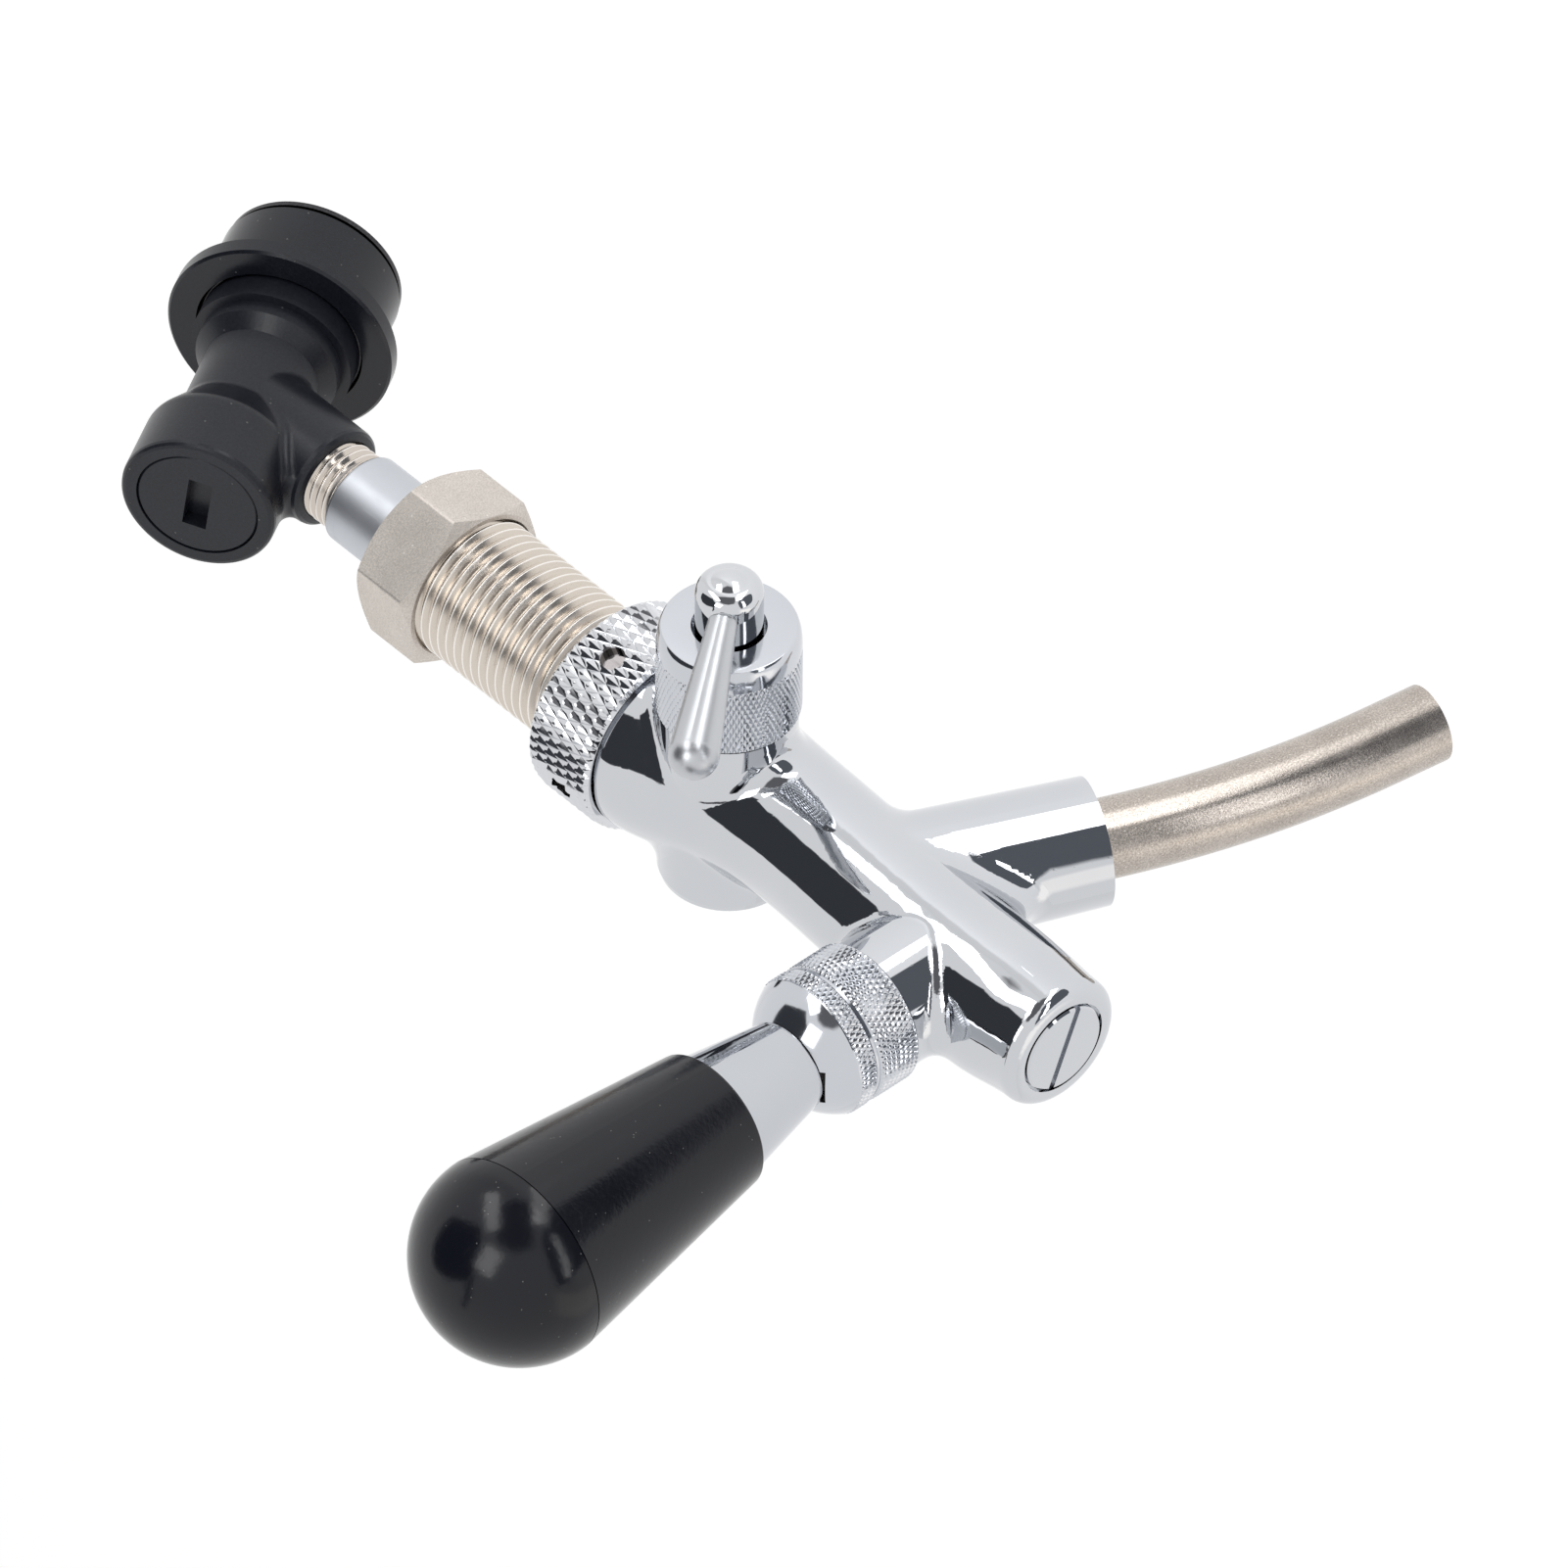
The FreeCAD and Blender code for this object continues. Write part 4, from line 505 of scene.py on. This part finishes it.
def grained(name, metallic, dark, light, rough, spread, grain, cloud, speck, specks, speck_colour,
            relief, depth):
    """Grained finish for metal or plastic. The grain and a slow cloud move the colour between two tones,
    the cloud moves the blur by the spread, the grain is also the relief, and sparse specks show another
    colour."""
    material, tree, shader = new_finish(name)
    shader.inputs["Metallic"].default_value = metallic
    shader.inputs["IOR"].default_value = MOULDED_IOR
    skin = effect(tree, fine_grain, {"Scale": grain, "Cloud Scale": cloud, "Speck Scale": speck,
                                     "Specks": specks})
    clouded = calculated(tree, "MULTIPLY", skin["Cloud"], 1.0 - GRAIN_SHARE)
    both = calculated(tree, "MULTIPLY_ADD", skin["Grain"], GRAIN_SHARE, clouded)
    tone = mixed(tree, ramped(tree, both, GRAIN_LOW, GRAIN_HIGH), dark, light)
    feed(tree, mixed(tree, skin["Speck"], tone, speck_colour), shader.inputs["Base Color"])
    blur = ramped(tree, skin["Cloud"], CLOUD_LOW, CLOUD_HIGH, rough - spread, rough + spread)
    feed(tree, blur, shader.inputs["Roughness"])
    feed(tree, bent(tree, skin["Grain"], relief, depth), shader.inputs["Normal"])
    return material


nut_nickel = grained("nut_nickel", metallic=1.0, dark=(0.52, 0.478, 0.437), light=(0.74, 0.693, 0.645),
                     rough=0.50, spread=0.02, grain=4200.0, cloud=160.0, speck=900.0, specks=0.12,
                     speck_colour=(0.80, 0.76, 0.72), relief=0.40, depth=0.00004)
dress(nut_nickel, "shank_nut")


# Adapter sleeve and stem
# Plain round sleeve pressed into the shank, and the short threaded stem that the disconnect screws on.
# The sleeve is chromium plated and a little rubbed, so it blurs what it mirrors; the stem is nickel plated.

STEM_R = 0.00658
STEM_PITCH = 0.001337
STEM_DEPTH = 0.00070
STEM_PRESSED_R = 0.00548
STEM_PRESSED_Y = 0.0471
STEM_START_Y = 0.0551
STEM_END_Y = 0.0672
STEM_CHAMFER = 0.0006
STEM_BORE_R = 0.0034
STEM_COLUMNS = 72
STEM_RUB_AND_HIGHLIGHT = 0.00014

sleeve_chrome = plated_metal("sleeve_chrome", colour=(0.53, 0.55, 0.59), haze=(0.59, 0.61, 0.64),
                             sheen=0.40, marks=0.45, blur=0.04, wave=0.15)
dress(sleeve_chrome, "adapter_sleeve")
stem = threaded_bar(
    "threaded_stem", STEM_START_Y, STEM_END_Y, STEM_PITCH, STEM_R, STEM_DEPTH, STEM_CHAMFER, STEM_COLUMNS,
    [(STEM_PRESSED_Y, STEM_BORE_R), (STEM_PRESSED_Y, STEM_PRESSED_R), (STEM_START_Y, STEM_PRESSED_R)],
    [(STEM_END_Y, STEM_BORE_R)])
stem_nickel = plated_metal("stem_nickel", colour=(0.55, 0.495, 0.44), haze=(0.64, 0.585, 0.53),
                           sheen=0.14, marks=0.40, blur=0.08, wave=0.10)
# painted highlight: the stem's crests get a whiter colour, partly for rubbed plating
rubbed_and_highlit_crests(stem_nickel, STEM_R, band=STEM_RUB_AND_HIGHLIGHT, colour=(0.92, 0.89, 0.86))
stem.data.materials.append(stem_nickel)
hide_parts("adapter_stem")
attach(stem, "tap")


# Spout
# Bent stainless tube, cut square at its mouth and pushed into the lower boss over two rings.
# It is blasted, so it is warm and softly shining, with a fine speckle.

spout_steel = grained("spout_steel", metallic=1.0, dark=(0.32, 0.285, 0.254), light=(0.60, 0.545, 0.495),
                      rough=0.23, spread=0.02, grain=3800.0, cloud=150.0, speck=1500.0, specks=0.20,
                      speck_colour=(0.72, 0.68, 0.63), relief=0.30, depth=0.00004)
dress(spout_steel, "spout_tube")


# Valve and its seals
# Inside the barrel a steel shaft with a nut and a soft disc closes the seat; rubber rings keep it tight.
# The guide, the ball's cup and washer and the flow cone are moulded in white bearing plastic.
# The lever, the disconnect's poppet and its locking balls are of the same stainless steel.

stainless = grained("stainless", metallic=1.0, dark=(0.50, 0.50, 0.50), light=(0.62, 0.62, 0.62),
                    rough=0.22, spread=0.05, grain=2600.0, cloud=140.0, speck=900.0, specks=0.08,
                    speck_colour=(0.7, 0.7, 0.7), relief=0.15, depth=0.00003)
dress(stainless, "valve_shaft", "shaft_nut", "lever", "poppet",
      "locking_ball_a", "locking_ball_b", "locking_ball_c")
seal_rubber = grained("seal_rubber", metallic=0.0, dark=(0.010, 0.010, 0.011),
                      light=(0.022, 0.022, 0.023), rough=0.55, spread=0.08, grain=2200.0, cloud=160.0,
                      speck=1100.0, specks=0.10, speck_colour=(0.07, 0.07, 0.07), relief=0.30,
                      depth=0.00004)
rubber_nodes = [n for n in nodes if "o_ring" in n or n.endswith("washer") or "seal" in n]
dress(seal_rubber, *[n for n in rubber_nodes if n != "ball_washer"])
bearing_white = grained("bearing_white", metallic=0.0, dark=(0.62, 0.61, 0.58), light=(0.74, 0.73, 0.70),
                        rough=0.42, spread=0.06, grain=1500.0, cloud=110.0, speck=800.0, specks=0.05,
                        speck_colour=(0.5, 0.48, 0.45), relief=0.20, depth=0.00003)
dress(bearing_white, "ball_washer", "ball_seat", "shaft_guide", "compensator_cone")


# Lock ring and bonnet
# The ring screws on the handle boss and the domed bonnet holds the ball of the lever; a slot in the dome
# lets the lever swing. Both carry a fine diamond knurl and are chromium plated.

HANDLE_AXIS_Y = -0.0747
LOCK_RING_R = 0.0114
LOCK_RING_LOW = 0.0159
LOCK_RING_TOP = 0.0235
LOCK_RING_BORE_R = 0.0097
LOCK_NECK_R = 0.01092
LOCK_NECK_TOP = 0.02405
RING_STARTS = 74
RING_LEAD = 0.00178
RING_RELIEF = 0.00026
FINE_FLAT = 0.15
FINE_STEPS = 3
LOCK_RING_BEVELS = (0.0005, 0.0004)
BAND_LOW = 0.02425
BAND_TOP = 0.02745
BAND_INNER_R = 0.0109
BAND_BEVELS = (0.0003, 0.0003)

knurled_chrome = plated_metal("knurled_chrome", colour=(0.54, 0.56, 0.60), haze=(0.60, 0.615, 0.65),
                              sheen=0.07, marks=0.25, blur=0.06, wave=0.10)
lock_ring = knurled_ring(
    "knurled_lock_ring", (0, HANDLE_AXIS_Y, 0), (0, 0, 1), (1, 0, 0), LOCK_RING_R, LOCK_RING_LOW,
    LOCK_RING_TOP, RING_STARTS, RING_LEAD, RING_RELIEF, FINE_FLAT, FINE_STEPS, LOCK_RING_BEVELS,
    [(LOCK_RING_TOP, LOCK_NECK_R), (LOCK_NECK_TOP, LOCK_NECK_R), (LOCK_NECK_TOP, LOCK_RING_BORE_R),
     (LOCK_RING_LOW, LOCK_RING_BORE_R)])
lock_ring.data.materials.append(knurled_chrome)
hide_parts("lock_ring")
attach(lock_ring, "tap")
band = knurled_ring(
    "bonnet_knurl", (0, HANDLE_AXIS_Y, 0), (0, 0, 1), (1, 0, 0), LOCK_RING_R, BAND_LOW, BAND_TOP,
    RING_STARTS, RING_LEAD, RING_RELIEF, FINE_FLAT, FINE_STEPS, BAND_BEVELS,
    [(BAND_TOP, BAND_INNER_R), (BAND_LOW, BAND_INNER_R)])
band.data.materials.append(knurled_chrome)
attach(band, "tap")
dress(knurled_chrome, "handle_bonnet")


# Handle
# A flared chromium plated ferrule screws on the lever, and a moulded grip with a brass insert follows it.
# The grip and its cap are glossy black phenolic with moulding haze, a little dust and fine rubbing marks.

DUST_GREY = (0.16, 0.16, 0.16)
SHINIER = 0.03
DULLER = 0.05
RUB_BLUR = 0.15
SINK_RELIEF = 0.25
SINK_DEPTH = 0.00008


def moulded_gloss(name, colour, haze, rough, dust):
    """Glossy dark moulding. Haze and rubbing marks move the blur, dust shows as sparse pale specks,
    and slight sink in the moulding bends the highlights."""
    material, tree, shader = new_finish(name)
    shader.inputs["IOR"].default_value = MOULDED_IOR
    skin = effect(tree, fine_grain, {"Scale": 900.0, "Cloud Scale": 60.0, "Speck Scale": 1500.0,
                                     "Specks": dust})
    tone = mixed(tree, skin["Cloud"], colour, haze)
    feed(tree, mixed(tree, skin["Speck"], tone, DUST_GREY), shader.inputs["Base Color"])
    lines = effect(tree, polish_marks, {"Scale": 0.8, "Amount": 0.5})
    blur = ramped(tree, skin["Cloud"], CLOUD_LOW, CLOUD_HIGH, rough - SHINIER, rough + DULLER)
    rubbed = calculated(tree, "MULTIPLY_ADD", lines["Mask"], RUB_BLUR, blur)
    feed(tree, rubbed, shader.inputs["Roughness"])
    feed(tree, bent(tree, skin["Grain"], SINK_RELIEF, SINK_DEPTH), shader.inputs["Normal"])
    return material


handle_chrome = plated_metal("handle_chrome", colour=(0.495, 0.512, 0.545), haze=(0.54, 0.555, 0.585),
                             sheen=0.03, marks=0.22, blur=0.05, wave=0.05)
dress(handle_chrome, "handle_ferrule")
grip_black = moulded_gloss("grip_black", colour=(0.0026, 0.0032, 0.0068), haze=(0.0058, 0.0068, 0.0125),
                           rough=0.14, dust=0.05)
dress(grip_black, "handle_grip", "grip_cap")
insert_brass = grained("insert_brass", metallic=1.0, dark=(0.62, 0.45, 0.20), light=(0.75, 0.57, 0.30),
                       rough=0.30, spread=0.06, grain=2000.0, cloud=140.0, speck=900.0, specks=0.05,
                       speck_colour=(0.5, 0.36, 0.16), relief=0.20, depth=0.00003)
dress(insert_brass, "grip_insert")


# Flow control
# A knurled cap screws on the side boss; through it comes a turning stem with a small tapered side lever.
# All three are turned brass, chromium plated; the cap has a wide smooth bevel and a flat face.

CONTROL_AXIS_Y = -0.02643
CAP_R = 0.01086
CAP_FOOT_X = 0.0171
CAP_KNURL_X = 0.0296
CAP_FACE_X = 0.0333
CAP_FACE_R = 0.00995
CAP_HOLE_R = 0.00566
CAP_BORE_R = 0.0088
CAP_BORE_X = 0.0282
CAP_STARTS = 82
CAP_LEAD = 0.00190
CAP_RELIEF = 0.00020
CAP_BEVELS = (0.0004, 0.0002)
CAP_SHOULDER_ROWS = 12

# quarter of an ellipse from the knurl's end up to the flat face
cap_shoulder = [(CAP_KNURL_X + (CAP_FACE_X - CAP_KNURL_X) * math.sin(t),
                 CAP_FACE_R + (CAP_R - CAP_FACE_R) * math.cos(t))
                for t in np.linspace(0.0, 0.5 * math.pi, CAP_SHOULDER_ROWS).tolist()]
control_cap = knurled_ring(
    "knurled_control_cap", (0, CONTROL_AXIS_Y, 0), (1, 0, 0), (0, 1, 0), CAP_R, CAP_FOOT_X, CAP_KNURL_X,
    CAP_STARTS, CAP_LEAD, CAP_RELIEF, FINE_FLAT, FINE_STEPS, CAP_BEVELS,
    cap_shoulder + [(CAP_FACE_X, CAP_HOLE_R), (CAP_BORE_X, CAP_HOLE_R), (CAP_BORE_X, CAP_BORE_R),
                    (CAP_FOOT_X, CAP_BORE_R)])
control_cap.data.materials.append(knurled_chrome)
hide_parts("control_cap")
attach(control_cap, "tap")
control_chrome = plated_metal("control_chrome", colour=(0.585, 0.600, 0.625), haze=(0.63, 0.642, 0.66),
                              sheen=0.02, marks=0.16, blur=0.04, wave=0.05)
dress(control_chrome, "control_stem")
lever_chrome = plated_metal("lever_chrome", colour=(0.51, 0.525, 0.55), haze=(0.56, 0.572, 0.59),
                            sheen=0.33, marks=0.20, blur=0.03, wave=0.05)
dress(lever_chrome, "control_lever")


# Quick disconnect
# Moulded body with a side arm, a cap with a slot for a coin, and a sliding collar that frees three balls.
# Satin black plastic, the sliding collar shinier; the collar's steel spring is blackened like its snap ring.

disconnect_black = grained("disconnect_black", metallic=0.0, dark=(0.0082, 0.0094, 0.0145),
                           light=(0.0165, 0.0183, 0.0260), rough=0.31, spread=0.05, grain=2600.0,
                           cloud=90.0, speck=1000.0, specks=0.05, speck_colour=(0.10, 0.10, 0.10),
                           relief=0.30, depth=0.00006)
dress(disconnect_black, "disconnect_body", "disconnect_cap")
locking_black = grained("locking_black", metallic=0.0, dark=(0.0062, 0.0074, 0.0120),
                        light=(0.0108, 0.0125, 0.0190), rough=0.22, spread=0.05, grain=1800.0, cloud=90.0,
                        speck=1000.0, specks=0.04, speck_colour=(0.10, 0.10, 0.10), relief=0.20,
                        depth=0.00004)
dress(locking_black, "locking_collar")
spring_steel = grained("spring_steel", metallic=1.0, dark=(0.44, 0.44, 0.45), light=(0.58, 0.58, 0.59),
                       rough=0.30, spread=0.06, grain=2400.0, cloud=160.0, speck=900.0, specks=0.06,
                       speck_colour=(0.3, 0.29, 0.28), relief=0.20, depth=0.00003)
black_oxide = grained("black_oxide", metallic=1.0, dark=(0.035, 0.035, 0.038), light=(0.07, 0.07, 0.075),
                      rough=0.32, spread=0.06, grain=2400.0, cloud=160.0, speck=900.0, specks=0.06,
                      speck_colour=(0.14, 0.13, 0.12), relief=0.20, depth=0.00003)
dress(black_oxide, "snap_ring")

DISCONNECT_LEAN = math.radians(29.0)
DISCONNECT_AXIS = np.array((0.0, math.sin(DISCONNECT_LEAN), -math.cos(DISCONNECT_LEAN)))
DISCONNECT_CROSSING_Y = 0.08044
DISCONNECT_HEAD = 0.02166
DISCONNECT_TOP = np.array((0.0, DISCONNECT_CROSSING_Y, 0.0)) - DISCONNECT_HEAD * DISCONNECT_AXIS
COLLAR_SPRING_LOW = 0.0372
COLLAR_SPRING_HIGH = 0.0443
COLLAR_SPRING_R = 0.0125
COLLAR_SPRING_COILS = 3
POPPET_SPRING_LOW = 0.0060
POPPET_SPRING_HIGH = 0.0275
POPPET_SPRING_R = 0.0036
POPPET_SPRING_COILS = 5
SPRING_GAP = 0.00012
CLOSED_TURN = 0.5
WIRE_R = 0.0004
WIRE_SIDES = 10
WIRE_STEPS = 56
WIRE_CORNER = 50


def wound_spring(name, material, low, high, radius, coils):
    """Compression spring between two distances from the disconnect's top along its axis. At turn u of its
    wire the centre stands at angle 2 pi u and height h(u), where h stays level over the first and last half
    turn, gathers its slope over the next half and rises evenly between. Round it stands a circle of the
    wire's radius, spanned by the outward direction and the axis."""
    turn = np.linspace(0.0, coils, WIRE_STEPS * coils + 1)
    rate = np.clip(np.minimum(turn, coils - turn) / CLOSED_TURN - 1.0, 0.0, 1.0)
    climb = np.concatenate(([0.0], np.cumsum((rate[1:] + rate[:-1]) / 2)))
    height = low + SPRING_GAP + WIRE_R + (high - low - 2 * SPRING_GAP - 2 * WIRE_R) * climb / climb[-1]
    right = np.array((1.0, 0.0, 0.0))
    side = np.cross(DISCONNECT_AXIS, right)
    outward = np.cos(2 * math.pi * turn)[:, None] * right + np.sin(2 * math.pi * turn)[:, None] * side
    centre = DISCONNECT_TOP + height[:, None] * DISCONNECT_AXIS + radius * outward
    spin = np.linspace(0.0, 2 * math.pi, WIRE_SIDES, endpoint=False)
    points = (centre[:, None, :] + WIRE_R * np.cos(spin)[None, :, None] * outward[:, None, :]
              + WIRE_R * np.sin(spin)[None, :, None] * DISCONNECT_AXIS)
    index = np.arange(len(turn) * WIRE_SIDES).reshape(len(turn), WIRE_SIDES)
    here, after = index[:-1], index[1:]
    walls = np.stack((here, np.roll(here, -1, axis=1), np.roll(after, -1, axis=1), after), axis=-1)
    faces = walls.reshape(-1, 4).tolist() + [index[0].tolist(), index[-1].tolist()]
    mesh = bpy.data.meshes.new(name)
    mesh.from_pydata(points.reshape(-1, 3), [], faces)
    form = bmesh.new()
    form.from_mesh(mesh)
    bmesh.ops.recalc_face_normals(form, faces=form.faces)
    form.to_mesh(mesh)
    form.free()
    mesh.shade_smooth()
    mesh.set_sharp_from_angle(angle=math.radians(WIRE_CORNER))
    mesh.materials.append(material)
    spring = bpy.data.objects.new(name, mesh)
    bpy.context.scene.collection.objects.link(spring)
    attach(spring, "tap")
    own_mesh(spring)
    return spring


collar_spring = wound_spring("wound_collar_spring", black_oxide,
                             COLLAR_SPRING_LOW, COLLAR_SPRING_HIGH, COLLAR_SPRING_R, COLLAR_SPRING_COILS)
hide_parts("collar_spring")
poppet_spring = wound_spring("wound_poppet_spring", spring_steel,
                             POPPET_SPRING_LOW, POPPET_SPRING_HIGH, POPPET_SPRING_R, POPPET_SPRING_COILS)
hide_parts("poppet_spring")


# Stage
# Pale floor, a white room with four soft strip lamps, and dark and bright cards for the chrome to mirror.
# The camera looks from the front right and above, rolled so that the flow control stands up.

VIEW_CENTRE = np.array((-0.00471, -0.02806, -0.00959))
VIEW_RIGHT = np.array((0.0037, -0.6706, -0.7413))
VIEW_BACK = np.array((0.7045, -0.5245, 0.4780))
VIEW_UP = np.cross(VIEW_BACK, VIEW_RIGHT)
VIEW_DISTANCE = 8.0
VIEW_WIDTH = 0.23105
SENSOR_WIDTH = 36.0
FLOOR_Z = -0.25
FLOOR_HALF = 6.0
FLOOR_GLOW = 0.54
ROOM_LIGHT = 0.5
LAMP_DISTANCE = 1.2
CARD_LOWEST = -0.235
CARD_SHARES = (0.0, 0.5)


def white_where_seen(tree, seen, elsewhere):
    """Strength of the background: one for rays that see it directly, by mirror or through glass, and
    another for the light that it sheds."""
    rays = tree.nodes.new("ShaderNodeLightPath").outputs
    direct = calculated(tree, "MAXIMUM", rays["Is Camera Ray"], rays["Is Glossy Ray"])
    background = calculated(tree, "MAXIMUM", direct, rays["Is Transmission Ray"])
    return ramped(tree, background, 0.0, 1.0, elsewhere, seen)


world = bpy.data.worlds.new("white_room")
bpy.context.scene.world = world
world.use_nodes = True
sky = world.node_tree.nodes["Background"]
sky.inputs["Color"].default_value = (1.0, 1.0, 1.0, 1.0)
feed(world.node_tree, white_where_seen(world.node_tree, 1.0, ROOM_LIGHT), sky.inputs["Strength"])

floor_mesh = bpy.data.meshes.new("floor")
floor_corners = [(FLOOR_HALF * x, FLOOR_HALF * y, FLOOR_Z) for x, y in ((-1, -1), (1, -1), (1, 1), (-1, 1))]
floor_mesh.from_pydata(floor_corners, [], [(0, 1, 2, 3)])
floor = bpy.data.objects.new("floor", floor_mesh)
bpy.context.scene.collection.objects.link(floor)
floor_pale, floor_tree, floor_shader = new_finish("floor_pale")
floor_shader.inputs["Base Color"].default_value = (0.82, 0.82, 0.82, 1.0)
floor_shader.inputs["Roughness"].default_value = 0.9
floor_shader.inputs["Specular IOR Level"].default_value = 0.0
floor_shader.inputs["Emission Color"].default_value = (1.0, 1.0, 1.0, 1.0)
feed(floor_tree, white_where_seen(floor_tree, FLOOR_GLOW, 0.0), floor_shader.inputs["Emission Strength"])
floor.data.materials.append(floor_pale)


def toward(azimuth, elevation):
    """Unit vector to a direction seen from the part; azimuth 0 is the front and 90 the right."""
    a, e = math.radians(azimuth), math.radians(elevation)
    return np.array((math.sin(a) * math.cos(e), -math.cos(a) * math.cos(e), math.sin(e)))


def view_side(right, up):
    """Unit vector to a direction on the camera's side, by its parts along the picture's right and up."""
    return VIEW_RIGHT * right + VIEW_UP * up + VIEW_BACK * math.sqrt(1.0 - right * right - up * up)


def lamp(name, low, high, width, brightness):
    """Soft strip lamp that faces the part and reaches from one direction to another. The width is an
    angle in degrees, and the power is the brightness times the area times pi."""
    middle = (low + high) / np.linalg.norm(low + high)
    data = bpy.data.lights.new(name, "AREA")
    data.shape = "RECTANGLE"
    data.size = 2 * LAMP_DISTANCE * math.tan(math.radians(width) / 2)
    data.size_y = 2 * LAMP_DISTANCE * math.tan(0.5 * math.acos(float(low @ high)))
    data.energy = brightness * data.size * data.size_y * math.pi
    light = bpy.data.objects.new(name, data)
    bpy.context.scene.collection.objects.link(light)
    along = (high - low) / np.linalg.norm(high - low)
    across = np.cross(along, middle)
    turn = Matrix(np.stack((across, along, middle), axis=1).tolist())
    light.matrix_world = Matrix.Translation(VIEW_CENTRE + LAMP_DISTANCE * middle) @ turn.to_4x4()
    light.visible_camera = False


lamp("lamp_right_low", view_side(0.707, -0.377), view_side(0.527, 0.295), width=8, brightness=3.2)
lamp("lamp_right_high", view_side(0.337, 0.470), view_side(0.200, 0.913), width=15, brightness=3.2)
lamp("lamp_left_low", view_side(-0.600, -0.300), view_side(-0.420, 0.050), width=20, brightness=3.0)
lamp("lamp_left_high", view_side(-0.430, 0.368), view_side(-0.415, 0.853), width=14, brightness=3.0)


def card(name, colour, distance, soft, corners):
    """Card that only chrome and gloss mirror, on a sphere round the part, given by the directions of its
    corners, and no lower than just above the floor. It glows in one plain tone that fades out over its
    soft outer share, casts no shadow and sheds no light on matt surfaces."""
    outer = np.array(corners)
    middle = outer.mean(axis=0)
    rings = [middle + share * (outer - middle) for share in (*CARD_SHARES, 1.0 - soft, 1.0)]
    rays = np.concatenate(rings)
    rays = rays / np.linalg.norm(rays, axis=1)[:, None]
    reach = np.minimum(distance, CARD_LOWEST / np.minimum(rays[:, 2], -1e-3))
    count = len(outer)
    start = np.arange(count)
    after = (start + 1) % count
    strip = np.stack((start, after, after + count, start + count), axis=1)
    faces = np.concatenate([strip + k * count for k in range(len(rings) - 1)])
    mesh = bpy.data.meshes.new(name)
    mesh.from_pydata((VIEW_CENTRE + reach[:, None] * rays).tolist(), [], faces.tolist())
    cover = mesh.attributes.new("cover", "FLOAT", "POINT")
    cover.data.foreach_set("value", np.repeat((1.0, 1.0, 1.0, 0.0), count))
    material, tree, shader = new_finish(name)
    tree.nodes.remove(shader)
    glow = tree.nodes.new("ShaderNodeEmission")
    feed(tree, colour, glow.inputs["Color"])
    clear = tree.nodes.new("ShaderNodeBsdfTransparent")
    covered = tree.nodes.new("ShaderNodeAttribute")
    covered.attribute_name = "cover"
    mix = tree.nodes.new("ShaderNodeMixShader")
    feed(tree, covered.outputs["Fac"], mix.inputs["Fac"])
    feed(tree, clear.outputs["BSDF"], mix.inputs[1])
    feed(tree, glow.outputs["Emission"], mix.inputs[2])
    feed(tree, mix.outputs["Shader"], tree.nodes["Material Output"].inputs["Surface"])
    mesh.materials.append(material)
    board = bpy.data.objects.new(name, mesh)
    bpy.context.scene.collection.objects.link(board)
    board.visible_camera = False
    board.visible_shadow = False
    board.visible_diffuse = False


card("board_above", colour=(0.048, 0.052, 0.060), distance=2.0, soft=0.05, corners=[
    toward(168, 34), toward(153, 28), toward(110, 35), toward(91, 54), toward(83, 69), toward(72, 84),
    toward(-159, 66), toward(-162, 48), toward(-175, 39)])
card("board_edge", colour=(0.09, 0.09, 0.10), distance=2.2, soft=0.3, corners=[
    toward(119, 83), toward(76, 81), toward(-67, 81), toward(-96, 62), toward(-103, 65), toward(-102, 79)])
card("room_right", colour=(0.16, 0.16, 0.17), distance=2.2, soft=0.2, corners=[
    toward(104, 20), toward(109, 6), toward(104, -6), toward(92, -14), toward(71, -2), toward(50, 14),
    toward(54, 31), toward(68, 40), toward(84, 39)])
card("room_floor", colour=(0.13, 0.14, 0.16), distance=2.0, soft=0.06, corners=[
    toward(74, -11), toward(74, -31), toward(66, -36), toward(46, -37), toward(28, -34), toward(15, -27),
    toward(8, -11), toward(4, -2), toward(5, 7), toward(27, 9), toward(50, 5)])
card("lamp_foot", colour=(3.2, 3.2, 3.2), distance=1.6, soft=0.02, corners=[
    toward(106, -21), toward(98, -31), toward(63, -12), toward(70, 1)])
card("room_front", colour=(1.45, 1.40, 1.34), distance=2.4, soft=0.5, corners=[
    toward(5, 15), toward(-3, -4), toward(-14, -30), toward(-36, -28), toward(-39, -9), toward(-24, 13)])

camera_data = bpy.data.cameras.new("camera")
camera = bpy.data.objects.new("camera", camera_data)
bpy.context.scene.collection.objects.link(camera)
camera_data.sensor_width = SENSOR_WIDTH
camera_data.lens = SENSOR_WIDTH * VIEW_DISTANCE / VIEW_WIDTH
camera_data.clip_start = 0.1
camera_data.clip_end = 40.0
camera_turn = np.stack((VIEW_RIGHT, VIEW_UP, VIEW_BACK), axis=1).tolist()
camera_place = (VIEW_CENTRE + VIEW_DISTANCE * VIEW_BACK).tolist()
camera.matrix_world = Matrix([[*row, at] for row, at in zip(camera_turn, camera_place)] + [[0, 0, 0, 1]])
bpy.context.scene.camera = camera
bpy.context.scene.view_settings.view_transform = "Standard"

bpy.context.view_layer.update()
